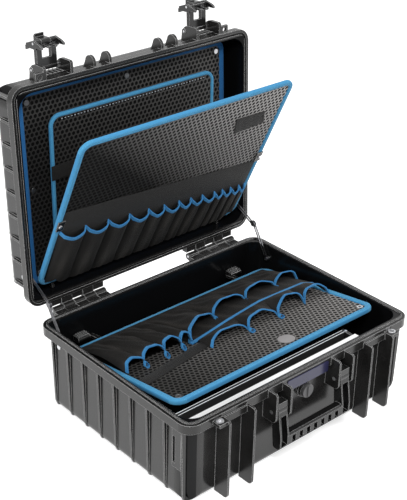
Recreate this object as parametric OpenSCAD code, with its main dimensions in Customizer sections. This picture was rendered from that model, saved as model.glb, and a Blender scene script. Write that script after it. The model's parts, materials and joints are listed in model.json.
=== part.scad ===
// Hard tool case with a hinged lid, two double-throw latches, a bail handle, folding lid
// stays and four pocket boards. Lengths are millimetres.
// The case stands on its base with the lid open. X runs along the width, Y from the latches
// at the front (-Y) to the hinge at the back (+Y), and Z is up.
// Lid pieces are drawn as they lie when the case is shut, then lid_open() swings them up.

/* [Case] */
// Outer width of both rims
case_w = 510; // [490:2:540]
// Outer depth of both rims
case_d = 392; // [384:2:410]
// Height of the base up to its rim
base_h = 155.5; // [150:0.5:166]
// Height of the lid above its own rim face
lid_h = 69; // [66:1:85]
// Gap between the two rim faces of the shut case
rim_gap = 0.5; // [0.3:0.1:1]
// Wall of both shells
wall = 4; // [3:0.5:4.5]
// How far the rims stand out from the side walls
rim_side = 8; // [7:0.5:10]
// How far the rims stand out from the front and back walls
rim_front = 10; // [9:0.5:12]
// Height of the base's rim band
base_rim_h = 16; // [12:1:20]
// Height of the lid's rim band
lid_rim_h = 14; // [11:1:16]
// Corner radius of the rims
rim_r = 24; // [20:1:30]
// Corner radius of the side walls
body_r = 32; // [28:1:40]
// Rounding of the base's lower edge
base_edge = 14; // [10:1:20]
// Rounding of the lid's outer edge
lid_edge = 18; // [12:1:24]

/* [Ribs] */
// Number of ribs on each side
rib_count = 9; // [5:1:9]
// Setback of the rearmost side rib from the rim's back
rib_setback = 37; // [34:1:42]
// Setback of the frontmost side rib from the rim's front
rib_front_setback = 19.8; // [16:0.2:24]
// Thickness of a side rib
rib_t = 4; // [3:0.5:6]
// How far a side rib stops short of the rim's face
rib_short = 2.5; // [1:0.5:4]
// How much a side rib tapers towards its foot
rib_taper = 3; // [1:0.5:4]
// Thickness of a front rib
front_rib_t = 3.5; // [3:0.5:5]
// How far the front ribs stand out from the rim
front_rib_out = 20; // [19:1:24]
// Height of the front ribs' feet above the ground
front_rib_foot = 2; // [1:1:6]

/* [Hinge] */
// Distance of the hinge axis behind the rims
hinge_out = 18; // [16:0.5:22]
// Depth of the hinge axis below the base's rim face
hinge_drop = 2; // [1:0.5:3]
// Opening angle of the lid
lid_angle = 92.7; // [90:0.1:96]
// Outer radius of a knuckle
knuckle_r = 6.5; // [5.5:0.5:8]
// Radius of the hinge pins
hinge_pin_r = 2.5; // [2:0.25:3]
// Distance of each hinge's outer end from the side of the rims
hinge_inset = 43; // [36:1:50]
// Length of each hinge
hinge_len = 114; // [100:1:130]
// Knuckles in each hinge
knuckles = 5; // [3:2:7]

/* [Latches] */
// Distance of each latch from the middle of the case
latch_x = 161.5; // [156:0.5:166]
// Clear gap between a latch's two ribs
latch_gap = 49; // [46:1:52]
// Distance of the ear pin in front of the rims
ear_out = 9.5; // [9:0.5:12]
// Height of the ear pin above the lid's rim face
ear_up = 36; // [35:0.5:37]
// How far an ear stands out in front of its pin
ear_reach = 11.5; // [9:0.5:12]
// Distance between the link's two pins
link_len = 42; // [41:0.5:44]
// Thickness of the link's bars
link_t = 8; // [7:0.5:9]
// Reach of the lever below its pin
lever_len = 22; // [21:0.5:28]
// Reach of the lever's prongs above its pin
lever_top = 24; // [18:0.5:25]
// Radius of the latch pins
latch_pin_r = 2; // [1.5:0.25:2.5]
// Underside of the keeper ledge below the base's rim face
keeper_drop = 19; // [18:0.5:19.5]
// Radius of a padlock hole
padlock_r = 3.5; // [3:0.25:4]
// Distance of the padlock holes from the middle of the case
padlock_x = 198; // [197:0.5:200]

/* [Handle] */
// Distance of each handle arm from the middle of the case
arm_x = 72; // [68:1:76]
// Clear gap between the two flanges of a handle bracket
bracket_gap = 28.5; // [26:0.5:30]
// Width of a handle arm
arm_w = 19; // [16:0.5:20]
// Handle axis below the base's rim face
handle_drop = 39; // [36:1:44]
// Handle axis in front of the rims
handle_out = 9; // [8:0.5:10]
// How far the grip's face stands in front of the rims
grip_out = 25; // [22:0.5:27]
// Height of the grip's underside above the ground
grip_foot = 44; // [40:1:50]
// Height of the grip
grip_h = 25; // [22:1:28]
// Depth of the grip from front to back
grip_t = 17; // [14:0.5:18]
// Number of finger ribs on the grip
grip_ribs = 7; // [5:2:9]
// Radius of the handle pins
handle_pin_r = 3; // [2.5:0.25:3.5]

/* [Fittings] */
// Width of the name plate
plate_w = 94; // [80:1:100]
// Height of the name plate
plate_h = 20; // [16:1:24]
// Thickness of the name plate
plate_t = 1.5; // [1:0.5:2]
// Radius of the valve's knob
valve_r = 13; // [11:0.5:14]
// Depth of the valve's axis below the base's rim face
valve_drop = 42; // [42:1:50]
// Radius of the valve's threaded shank
valve_shank_r = 7; // [5:0.5:8]

/* [Stays] */
// Thickness of a stay arm
stay_t = 2; // [1.5:0.25:2.5]
// Width of a stay arm
stay_w = 7; // [6:0.5:9]
// Radius of the stays' rivets
stay_rivet_r = 2; // [1.5:0.25:2.5]
// Clearance between the two arms of a stay
stay_gap = 1; // [0.5:0.1:1.5]
// Clearance between a lower stay arm and the side wall
stay_wall_gap = 3; // [2.5:0.25:4]

/* [Boards] */
// Thickness of the boards
board_t = 2.5; // [2:0.5:3]
// Corner radius of the boards
board_r = 16; // [12:1:20]
// Width of the edge binding
bind_w = 5; // [4:0.5:6]
// Height of the edge binding through the board's plane
bind_h = 7; // [6:0.5:8]
// Space between the boards' bindings and the inner side walls
board_side = 19; // [18:0.5:24]
// Depth of the fixed lid board inside the lid's rim face
fixed_depth = 35; // [34:0.5:38]
// Setback of the fixed lid board's binding from the lid's inner walls
fixed_setback = 7; // [5:0.5:10]
// Width of the middle lid board
middle_w = 350; // [330:2:354]
// Length of the middle lid board
middle_len = 250; // [230:2:256]
// Depth of the middle board's axis inside the lid's rim face
middle_depth = 24; // [23.5:0.5:24.5]
// Lean of the middle board while the lid is open
middle_lean = 2.4; // [2:0.1:3]
// Space between the folded front board's tip and the base's inner front wall
front_tip_gap = 5.5; // [2.5:0.5:18]
// How far the front lid board reaches below its axis
front_tail = 20; // [10:1:22]
// Depth of the front board's axis inside the lid's rim face
front_depth = 2.8; // [2.5:0.1:3.5]
// Lean of the front board while the lid is open
front_lean = 27.6; // [20:0.1:30]
// How far the front board folds past the lid's rim plane
front_tuck = 2.4; // [2:0.1:2.6]
// Setback of the front board's axis from the rims' back
front_setback = 52.5; // [50:0.5:56]
// Radius of the board hinges' pins
board_pin_r = 2; // [1.5:0.25:2.5]
// Height of the lid pockets' mouth above the front board's axis, at its high end
lid_mouth_high = 112; // [90:1:114]
// The same at its low end
lid_mouth_low = 58; // [50:1:90]
// Thickness of the lid board's filled pockets
lid_pocket_t = 12; // [8:0.5:13]
// Space between the base board and the inner front wall, along the board
base_front_gap = 44; // [41:1:60]
// Distance of the base board's binding from its axis
base_lead = 28; // [20:1:30]
// Lean of the base board, front edge up
base_board_lean = 9; // [8:0.1:9.5]
// Base board's axis below the base's rim face
base_board_drop = 48; // [46:1:60]
// Distance of the base board's axis from the inner back wall
base_board_back = 12; // [11:0.5:14]
// Length of the rear row of base pockets
rear_pocket_len = 108; // [90:1:110]
// Length of the front row of base pockets
front_pocket_len = 64; // [50:1:70]
// Thickness of the base board's filled pockets
base_pocket_t = 16; // [8:0.5:17]

/* [Front compartment] */
// Top of the aluminium rails below the base's rim face
rail_drop = 8; // [7:0.5:20]
// Top of the front rail below the base's rim face
front_rail_drop = 0.5; // [0.5:0.5:4]
// Depth of the rails' upright webs
rail_h = 46; // [20:1:60]
// Thickness of the rails' sheet
rail_t = 1.5; // [1:0.25:2]
// Width of the wide front rail
front_rail_w = 9; // [6:0.5:10]
// Width of the divider channel
channel_w = 7; // [5:0.5:8]
// Distance of the divider channel from the inner front wall
channel_y = 32; // [28:1:34]
// Length of the divider channel
channel_len = 374; // [330:1:376]

/* [Hidden] */

$fn = 48;
// Overlap that joins solids of one piece
join = 1;
// Radial clearance of every pin in its bore
fit = 0.05;
// Gap between parts that turn beside each other
side_gap = 0.6;

// Colours
shell_colour = [0.16, 0.16, 0.17];
dark_colour = [0.06, 0.06, 0.07];
steel_colour = [0.75, 0.76, 0.78];
blue_colour = [0.12, 0.45, 0.80];
navy_colour = [0.05, 0.07, 0.20];

// Shoulder strap lugs
strap_lug_z = 65;
strap_lug_w = 21;
strap_slot_y = 14;
strap_slot_w = 5;

// Padlock holes in front of the rims
padlock_out = 6.5;

// Shell walls
body_w = case_w - 2 * rim_side;
body_d = case_d - 2 * rim_front;
in_w = body_w - 2 * wall;
in_d = body_d - 2 * wall;
in_r = body_r - wall;
lid_z = base_h + rim_gap;
lid_top = lid_z + lid_h;
front_wall_y = -body_d / 2;
rim_front_y = -case_d / 2;
rib_front_y = rim_front_y - front_rib_out;
valve_z = base_h - valve_drop;
// Raised field behind the name plate
plate_edge = 2;
plate_top = 4;
plate_foot = plate_top + plate_h + 2;

// Rim step, tongue and seal groove
step_h = 3;
step_in = 3;
tongue_in = 6;
tongue_w = 2.5;
tongue_h = 2.2;
groove_slack = 0.6;
groove_depth = 5;
gasket_h = 1.8;

// Side ribs
rib_pitch = (case_d - rib_setback - rib_front_setback) / (rib_count - 1);

// Raised fields on the lid's top
pad_w = 34;
pad_in = 45;
pad_r = 10;
pad_t = 2;

// Hinge
hinge_y = case_d / 2 + hinge_out;
hinge_z = base_h - hinge_drop;
hinge = [hinge_y, hinge_z];
hinge_x1 = case_w / 2 - hinge_inset;
hinge_x0 = hinge_x1 - hinge_len;
knuckle_len = hinge_len / knuckles;
shelf_drop = 1;

// Latch points of the shut case, as [y, z]
ear_y = rim_front_y - ear_out;
ear_z = lid_z + ear_up;
lever_z = ear_z - link_len;
keeper_z = base_h - keeper_drop;
ear_x = latch_gap / 2 + front_rib_t / 2;
ear_t = 5;
bumper_r = 12;
lever_w = latch_gap - 3;
cheek_t = 3.4;
link_w = lever_w - 2 * cheek_t - 1;
fork_w = 10;
hook_w = link_w - 2 * fork_w - 1;
boss_r = 5;
lever_face = 9;
lever_skin = 3;
lip = 4;
rib_w = 1.8;
// Prongs are set back above this height, so that they clear the lid's rim
prong_step = ear_out - 3;
prong_face = link_len - ear_up - 0.6;
prong_w = 5;
hook_gap = 0.5;
hook_t = 4.5;
// Reach of the hook behind the lever's pin
hook_y = 10.5;

// Handle
handle_y = rim_front_y - handle_out;
handle_z = base_h - handle_drop;
handle_boss_r = 9;
arm_t = 16;
grip_y = rim_front_y - grip_out;
grip_back = grip_y + grip_t;
grip_w = 2 * arm_x - arm_w;
flange_x = bracket_gap / 2 + front_rib_t / 2;
flange_len = 55;
notch_depth = 8;
arm_edge = 2.5;
arm_web = 5;
arm_rise = 15;

// Stay pivots of the open case, as [y, z] from the hinge axis
stay_base = hinge + [-69, -24];
stay_knee = hinge + [-30.5, 37];
stay_lid = hinge + [28, 68];
lower_x = in_w / 2 - stay_wall_gap - stay_t;
upper_x = lower_x - stay_gap - stay_t;
rivet_head_r = 4.5;
rivet_head_t = 1.5;
eye_r = 5.5;
stay_bar = 1.8;

// Boards
board_w = in_w - 2 * board_side;
front_len = front_tail + case_d / 2 - front_setback + in_d / 2 - bind_w - front_tip_gap;
base_board_len = in_d - base_board_back - base_lead - bind_w - base_front_gap;
bracket_x = 190;
bracket_t = 4;
bracket_eye_r = 5;
lug_w = 8;
pivot_lead = 7;
middle_lug_x = middle_w / 2 - board_r - lug_w;
// Upper ends of the middle and base boards' panels, from their axes
middle_y0 = -pivot_lead - bind_w;
base_y0 = -base_lead - bind_w;
front_axis = [case_d / 2 - front_setback, lid_z + front_depth];
middle_axis = [front_axis[0] - 8.5, lid_z + middle_depth];
base_axis = [in_d / 2 - base_board_back, base_h - base_board_drop];
base_lug_x = 168;
base_pin_len = 12;
clip_block_w = 24;
pocket_w = board_w - 12;
row_gap = 6;
// Sewn straps, patch, clips, eyelets and disc
strap_t = 1.4;
strap_w = 20;
strap_v = 155;
base_strap_len = 0.4 * board_w;
band_high = 143;
band_low = 99;
patch_in = 104;
patch_v = 226;
patch_w = 66;
patch_h = 32;
clip_v = 144;
clip_len = 22;
clip_w = 14;
clip_t = 2;
eyelet_in = 15;
disc_x = 38;
disc_y = 26;
disc_r = 15;
fixed_w = in_w - 2 * fixed_setback - 2 * bind_w - 22;
fixed_d = in_d - 2 * fixed_setback - 2 * bind_w;
fixed_z = lid_z + fixed_depth;
post_x = fixed_w / 2 - 14;
post_y = fixed_d / 2 - 16;
post_r = 6;
post_rows = [for (x = [-1, 0, 1], y = [-1, 0, 1]) if (x != 0 || y != 0) [x * post_x, y * post_y]];

function turn(p, a) = [p[0] * cos(a) - p[1] * sin(a), p[0] * sin(a) + p[1] * cos(a)];
// Where a point of the open lid lies when the case is shut
function shut(p) = hinge + turn(p - hinge, lid_angle);
// Points of an arc about [cx, cy]
function arc(cx, cy, r, a0, a1, n) =
    [for (i = [0:n]) [cx + r * cos(a0 + (a1 - a0) * i / n), cy + r * sin(a0 + (a1 - a0) * i / n)]];

// ---------- shared shapes ----------

// Swings the lid's pieces from their shut place to the open lid
module lid_open() {
    translate([0, hinge_y, hinge_z])
        rotate([-lid_angle, 0, 0])
            translate([0, -hinge_y, -hinge_z])
                children();
}

// Leans a board about its axis, given as [y, z]
module board_at(axis, lean) {
    translate([0, axis[0], axis[1]])
        rotate([lean, 0, 0])
            children();
}

module round_rect(w, d, r) {
    square([w - 2 * r, d], center = true);
    square([w, d - 2 * r], center = true);
    for (x = [-1, 1], y = [-1, 1])
        translate([x * (w / 2 - r), y * (d / 2 - r)])
            circle(r);
}

module round_plate(w, d, r, h) {
    linear_extrude(h)
        round_rect(w, d, r);
}

// Outline that is square above and rounded at its two lower corners, standing on y = 0
module tray_outline(w, h, r) {
    translate([-w / 2, r])
        square([w, h - r]);
    translate([-w / 2 + r, 0])
        square([w - 2 * r, r + join]);
    for (x = [-1, 1])
        translate([x * (w / 2 - r), r])
            circle(r);
}

// Open-topped block with rounded corners and a rounded lower edge
module tub(w, d, h, r, edge) {
    intersection() {
        round_plate(w, d, r, h);
        translate([0, d, 0])
            rotate([90, 0, 0])
                linear_extrude(2 * d)
                    tray_outline(w, h, edge);
        rotate([0, 0, 90])
            translate([0, w, 0])
                rotate([90, 0, 0])
                    linear_extrude(2 * w)
                        tray_outline(d, h, edge);
    }
}

// Extrudes a [y, z] outline along X from x0 by len
module along_x(x0, len) {
    translate([x0, 0, 0])
        rotate([90, 0, 90])
            linear_extrude(len)
                children();
}

// Round bar along X, through [y, z]
module bar_x(p, r, x0, len) {
    translate([x0, p[0], p[1]])
        rotate([0, 90, 0])
            cylinder(h = len, r = r);
}

// Round bar along Y
module bar_y(x, z, r, y0, len) {
    translate([x, y0 + len, z])
        rotate([90, 0, 0])
            cylinder(h = len, r = r);
}

// The same shape on both sides of the case
module both_sides() {
    children();
    mirror([1, 0, 0])
        children();
}

// ---------- base ----------

module side_rib_base(y) {
    top = base_h - base_rim_h + join;
    out = case_w / 2 - rib_short;
    foot = out - rib_taper;
    translate([0, y + rib_t / 2, 0])
        rotate([90, 0, 0])
            linear_extrude(rib_t)
                polygon([[in_w / 2, top], [out, top], [foot, base_edge],
                    [foot - 3, 5], [foot - 10, 1], [in_w / 2 - 10, 1], [in_w / 2, base_edge]]);
}

module front_rib(x, t, top, foot) {
    r = 9;
    along_x(x - t / 2, t)
        polygon(concat([[front_wall_y + join, top], [rib_front_y + 3, top], [rib_front_y, top - 3]],
            arc(rib_front_y + r, foot + r, r, 180, 270, 6),
            [[front_wall_y + join, foot]]));
}

module base_knuckle_outline() {
    translate(hinge)
        circle(knuckle_r);
    polygon([[case_d / 2 - join, base_h - rim_gap], [case_d / 2 - join, base_h - base_rim_h + join],
        [hinge_y, hinge_z - knuckle_r], [hinge_y, base_h - rim_gap]]);
}

// Shelf that closes the space between the base's rim and its hinges
module base_hinge_shelf() {
    translate([hinge_x0, case_d / 2 - join, base_h - base_rim_h + join])
        cube([hinge_len, hinge_out - knuckle_r - side_gap + join,
            base_rim_h - join - shelf_drop]);
}

// The same on the lid
module lid_hinge_shelf() {
    translate([hinge_x0, case_d / 2 - join, lid_z + shelf_drop])
        cube([hinge_len, hinge_out - knuckle_r - side_gap + join, lid_rim_h - 2 * shelf_drop]);
}

module keeper() {
    r = 3;
    along_x(latch_x - latch_gap / 2 - join, latch_gap + 2 * join)
        polygon([[front_wall_y + join, base_h - 5], [rim_front_y - r + 1, base_h - 5 - r],
            [rim_front_y - r, keeper_z], [front_wall_y + join, keeper_z]]);
}

// Ledge that carries the base's padlock hole
module padlock_ledge() {
    translate([latch_x + ear_x, rim_front_y - 16, base_h - 12])
        cube([padlock_x + 8 - latch_x - ear_x, 16 + rim_front, 6]);
}

// Slotted lug for a shoulder strap, between the last two side ribs
module strap_lug() {
    y0 = case_d / 2 - rib_setback - (rib_count - 1) * rib_pitch;
    translate([body_w / 2 - join, y0, strap_lug_z])
        cube([case_w / 2 - rib_short - body_w / 2 + join, strap_lug_w, base_h - strap_lug_z - 12]);
}

module strap_slot() {
    y0 = case_d / 2 - rib_setback - (rib_count - 1) * rib_pitch;
    translate([body_w / 2, y0 + strap_slot_y, strap_lug_z + 8])
        cube([rim_side * 2, strap_slot_w, base_h - strap_lug_z - 40]);
}

module valve_boss() {
    bar_y(0, valve_z, valve_r + 2, front_wall_y - 4, 4 + join);
}

module base_solids() {
    tub(body_w, body_d, base_h, body_r, base_edge);
    translate([0, 0, base_h - base_rim_h])
        round_plate(case_w, case_d, rim_r, base_rim_h);
    translate([0, 0, base_h - base_rim_h - step_h])
        round_plate(case_w - 2 * step_in, case_d - 2 * step_in, rim_r, step_h + join);
    translate([0, 0, base_h - join])
        round_plate(case_w - 2 * tongue_in, case_d - 2 * tongue_in, rim_r - tongue_in,
            tongue_h + join);
    both_sides() {
        for (i = [0:rib_count - 1])
            side_rib_base(case_d / 2 - rib_setback - i * rib_pitch);
        for (s = [-1, 1]) {
            front_rib(latch_x + s * ear_x, front_rib_t, base_h - 6, front_rib_foot);
            front_rib(arm_x + s * flange_x, front_rib_t, base_h - 2,
                base_h - 2 - flange_len);
        }
        keeper();
        padlock_ledge();
        strap_lug();
        base_hinge_shelf();
        for (i = [0:2:knuckles - 1])
            along_x(hinge_x0 + i * knuckle_len + side_gap / 2, knuckle_len - side_gap)
                base_knuckle_outline();
    }
    valve_boss();
    translate([-plate_w / 2 - plate_edge, rim_front_y + join, base_h - plate_foot])
        cube([plate_w + 2 * plate_edge, rim_front, plate_foot - base_rim_h + join]);
}

module base_shell() {
    color(shell_colour)
        difference() {
            base_solids();
            translate([0, 0, wall])
                tub(in_w, in_d, base_h, in_r, base_edge - wall);
            translate([0, 0, base_h])
                round_plate(case_w - 2 * (tongue_in + tongue_w),
                    case_d - 2 * (tongue_in + tongue_w), rim_r - tongue_in - tongue_w,
                    tongue_h + join);
            both_sides() {
                bar_x(hinge, hinge_pin_r + fit, hinge_x0 - join, hinge_x1 - hinge_x0 + 2 * join);
                bar_x([handle_y, handle_z], handle_pin_r + fit, arm_x - bracket_gap, 2 * bracket_gap);
                translate([padlock_x, rim_front_y - padlock_out, base_h - 16])
                    cylinder(h = 16, r = padlock_r + 2.5);
                bar_x(stay_base, stay_rivet_r + fit, lower_x, 30);
                strap_slot();
            }
            bar_y(0, valve_z, valve_shank_r + fit, front_wall_y - 10, 30);
        }
}

// Steel bushes that line the base's padlock holes
module padlock_eyelets() {
    color(steel_colour)
        both_sides()
            translate([padlock_x, rim_front_y - padlock_out, base_h - 12])
                difference() {
                    union() {
                        cylinder(h = 6, r = padlock_r + 2.5);
                        translate([0, 0, 6])
                            cylinder(h = 1, r = padlock_r + 3);
                    }
                    translate([0, 0, -join])
                        cylinder(h = 10, r = padlock_r);
                }
}

module name_plate() {
    color(navy_colour)
        translate([0, rim_front_y, base_h - plate_top - plate_h / 2])
            rotate([90, 0, 0])
                round_plate(plate_w, plate_h, 3, plate_t);
}

// Pressure valve: flange, threaded shank and nut
module valve_body() {
    color(shell_colour)
        difference() {
            union() {
                bar_y(0, valve_z, valve_r, front_wall_y - 8, 3);
                bar_y(0, valve_z, valve_shank_r, front_wall_y - 8, wall + 12);
                bar_y(0, valve_z, valve_shank_r + 3.5, front_wall_y + wall, 4);
            }
            bar_y(0, valve_z, 3 + fit, front_wall_y - 10, wall + 30);
        }
}

module valve_seal() {
    color(dark_colour)
        difference() {
            bar_y(0, valve_z, valve_shank_r + 2.5, front_wall_y - 5, 1);
            bar_y(0, valve_z, valve_shank_r + 0.3, front_wall_y - 6, 4);
        }
}

module valve_knob() {
    color(dark_colour) {
        bar_y(0, valve_z, valve_r - 1, front_wall_y - 13.5, 5);
        bar_y(0, valve_z, 3, front_wall_y - 9, 16);
        translate([-2, front_wall_y - 15.5, valve_z - valve_r + 3])
            cube([4, 3, 2 * valve_r - 6]);
    }
}

// ---------- handle ----------

module handle_pins() {
    color(steel_colour)
        both_sides()
            bar_x([handle_y, handle_z], handle_pin_r, arm_x - flange_x - front_rib_t / 2,
                2 * flange_x + front_rib_t);
}

// The grip's section, as [y, z]
module grip_outline() {
    top = grip_foot + grip_h;
    polygon([[grip_back, grip_foot + 3], [grip_back - 3, grip_foot], [grip_y + 5, grip_foot],
        [grip_y, grip_foot + 5], [grip_y, top - 3], [grip_y + 3, top], [grip_back - 3, top],
        [grip_back, top - 3]]);
}

module handle_arm_outline() {
    translate([handle_y, handle_z])
        circle(handle_boss_r);
    translate([handle_y - arm_t / 2, handle_z])
        square([arm_t - 3, arm_rise]);
    polygon([[handle_y + arm_t / 2, handle_z], [handle_y - arm_t / 2, handle_z],
        [grip_y, grip_foot + grip_h], [grip_y, grip_foot + 5], [grip_y + 5, grip_foot],
        [grip_back - 3, grip_foot], [grip_back, grip_foot + 3]]);
}

// Opening between two of the grip's finger ribs
module grip_notch(i) {
    pitch = (grip_w - 8) / grip_ribs;
    translate([-grip_w / 2 + 4 + (i + 0.25) * pitch, grip_y - join, grip_foot + 4])
        cube([pitch * 0.5, notch_depth + join, grip_h - 10]);
}

// Hollow in an arm's front, between its two raised edges
module arm_hollow() {
    top = handle_z - handle_boss_r - 2;
    polygon([[handle_y - arm_t, top], [handle_y + arm_t / 2 - arm_web, top],
        [grip_back - arm_web, grip_foot + 6], [grip_y - join, grip_foot + 6]]);
}

module handle() {
    inner = arm_x - arm_w / 2;
    color(shell_colour)
        difference() {
            union() {
                both_sides()
                    along_x(inner, arm_w)
                        handle_arm_outline();
                along_x(-inner - join, 2 * (inner + join))
                    grip_outline();
            }
            for (i = [0:grip_ribs - 1])
                grip_notch(i);
            both_sides() {
                bar_x([handle_y, handle_z], handle_pin_r + fit, inner - join, arm_w + 2 * join);
                along_x(inner + arm_edge, arm_w - 2 * arm_edge)
                    arm_hollow();
            }
        }
}

// ---------- hinge ----------

module hinge_pin(side) {
    x0 = side > 0 ? hinge_x0 : -hinge_x1;
    color(steel_colour)
        bar_x(hinge, hinge_pin_r, x0 + side_gap / 2, hinge_x1 - hinge_x0 - side_gap);
}

module hinge_pin_left() { hinge_pin(-1); }
module hinge_pin_right() { hinge_pin(1); }

// ---------- stays ----------

// Rivets through the base's side walls, with a head outside
module stay_rivets_base() {
    color(steel_colour)
        both_sides() {
            bar_x(stay_base, stay_rivet_r, lower_x, body_w / 2 - lower_x);
            bar_x(stay_base, rivet_head_r, lower_x + stay_t, stay_wall_gap);
            bar_x(stay_base, rivet_head_r, body_w / 2, rivet_head_t);
            bar_x(stay_base, rivet_head_r - 1, lower_x - 0.7, 0.7);
        }
}

module stay_rivets_lid() {
    color(steel_colour)
        lid_open()
            both_sides() {
                bar_x(shut(stay_lid), stay_rivet_r, upper_x, body_w / 2 - upper_x);
                bar_x(shut(stay_lid), rivet_head_r, upper_x + stay_t, in_w / 2 - upper_x - stay_t);
                bar_x(shut(stay_lid), rivet_head_r, body_w / 2, rivet_head_t);
                bar_x(shut(stay_lid), rivet_head_r - 1, upper_x - 0.7, 0.7);
            }
}

// Two thin bars with an eye at each end, between two [y, z] points
module stay_arm(a, b, x, bore) {
    len = norm(b - a);
    angle = atan2(b[1] - a[1], b[0] - a[0]);
    difference() {
        along_x(x, stay_t)
            translate(a)
                rotate(angle) {
                    circle(eye_r);
                    translate([len, 0])
                        circle(eye_r);
                    translate([0, -stay_w / 2])
                        square([len, stay_w]);
                }
        bar_x(a, bore, x - join, stay_t + 2 * join);
        bar_x(b, bore, x - join, stay_t + 2 * join);
        translate([x - join, a[0], a[1]])
            rotate([angle, 0, 0])
                translate([0, eye_r + 2, -stay_w / 2 + stay_bar])
                    cube([stay_t + 2 * join, len - 2 * eye_r - 4, stay_w - 2 * stay_bar]);
    }
}

module stay_lower(side) {
    color(steel_colour)
        mirror([side > 0 ? 0 : 1, 0, 0])
            stay_arm(stay_base, stay_knee, lower_x, stay_rivet_r + fit);
}

module stay_upper(side) {
    color(steel_colour)
        mirror([side > 0 ? 0 : 1, 0, 0])
            stay_arm(stay_knee, stay_lid, upper_x, stay_rivet_r + fit);
}

// Knee stud: fixed in the lower arm, it stops just short of the upper arm
module stay_knee_stud(side) {
    color(dark_colour)
        mirror([side > 0 ? 0 : 1, 0, 0]) {
            bar_x(stay_knee, stay_rivet_r, lower_x, stay_t);
            bar_x(stay_knee, eye_r + 1, lower_x - stay_gap + 0.3, stay_gap - 0.3);
        }
}

module stay_lower_left() { stay_lower(-1); }
module stay_lower_right() { stay_lower(1); }
module stay_upper_left() { stay_upper(-1); }
module stay_upper_right() { stay_upper(1); }
module stay_knee_left() { stay_knee_stud(-1); }
module stay_knee_right() { stay_knee_stud(1); }

// ---------- front compartment ----------

module rail_end_left() {
    h = base_h - rail_drop - rail_h;
    color(dark_colour)
        difference() {
            translate([-in_w / 2, -in_d / 2 + in_r, h - 6])
                cube([6, 50, rail_h + 8]);
            for (i = [0:4])
                translate([-in_w / 2 + 3, -in_d / 2 + in_r + 6 + i * 9, h - 8])
                    cube([4, 3, rail_h + 20]);
        }
}

module rail_end_right() {
    x = -in_w / 2 + 6 + channel_len;
    color(dark_colour)
        translate([x, -in_d / 2, base_h - rail_drop - rail_h - 6])
            difference() {
                cube([5, channel_y + 8, rail_h + 6]);
                translate([2.5, channel_y, rail_h - 4])
                    cylinder(h = 12, r = 1 + fit);
            }
}

// Wide aluminium angle along the front wall, cut to the corner of the base
module front_rail() {
    top = base_h - front_rail_drop;
    color(steel_colour)
        intersection() {
            round_plate(in_w - 2 * fit, in_d - 2 * fit, in_r - fit, base_h);
            translate([-in_w / 2, -in_d / 2, 0]) {
                translate([0, 0, top - rail_t])
                    cube([channel_len + 6, front_rail_w, rail_t]);
                translate([0, front_rail_w - rail_t, top - rail_h])
                    cube([channel_len + 6, rail_t, rail_h]);
            }
        }
}

// Aluminium channel that takes the dividers
module divider_channel() {
    top = base_h - rail_drop;
    color(steel_colour)
        translate([-in_w / 2 + 6, -in_d / 2 + channel_y, top - rail_h])
            difference() {
                cube([channel_len, channel_w, rail_h]);
                translate([-join, rail_t, rail_t])
                    cube([channel_len + 2 * join, channel_w - 2 * rail_t, rail_h]);
            }
}

module channel_screw() {
    color(steel_colour)
        translate([-in_w / 2 + 8.5 + channel_len, -in_d / 2 + channel_y, base_h - rail_drop]) {
            cylinder(h = 1.6, r = 2.4);
            translate([0, 0, -8])
                cylinder(h = 8 + join, r = 1);
        }
}

// ---------- lid ----------

module side_rib_lid(y) {
    out = case_w / 2 - rib_short;
    translate([0, y + rib_t / 2, 0])
        rotate([90, 0, 0])
            linear_extrude(rib_t)
                polygon([[in_w / 2, lid_z + lid_rim_h - join], [out, lid_z + lid_rim_h - join],
                    [out - 1, lid_top - lid_edge - 8], [out - 8, lid_top - 8],
                    [in_w / 2 - 8, lid_top - 5], [in_w / 2, lid_top - lid_edge]]);
}

// Ear plate on the lid's front that reaches out in front of the ear pin
module ear_outline(reach) {
    tip = ear_y - reach;
    r = 19;
    polygon(concat([[front_wall_y + join, lid_z + 1.5], [tip + 3, lid_z + 1.5], [tip, lid_z + 4.5]],
        arc(tip + r, ear_z - r / 2 - 2.5, r, 180, 90, 10),
        [[front_wall_y + join, ear_z + r / 2]]));
}

// Bumper above a handle bracket
module bumper_outline() {
    translate([ear_y + 4, lid_z + 15])
        circle(bumper_r);
    polygon([[front_wall_y + join, lid_z + 1.5], [ear_y + 4, lid_z + 3.5], [ear_y - 2, lid_z + 25],
        [front_wall_y + join, lid_z + 36]]);
}

module lid_knuckle_outline() {
    translate(hinge)
        circle(knuckle_r);
    polygon([[case_d / 2 - join, lid_z + 1], [case_d / 2 - join, lid_z + lid_rim_h],
        [hinge_y - 9, lid_z + lid_rim_h - 3], [hinge_y, hinge_z + knuckle_r],
        [hinge_y, hinge_z + 1]]);
}

module lid_padlock_ledge() {
    translate([latch_x + ear_x, rim_front_y - 14, lid_z + 1.5])
        cube([padlock_x + 8 - latch_x - ear_x, 14 + rim_front, 5]);
}

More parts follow.
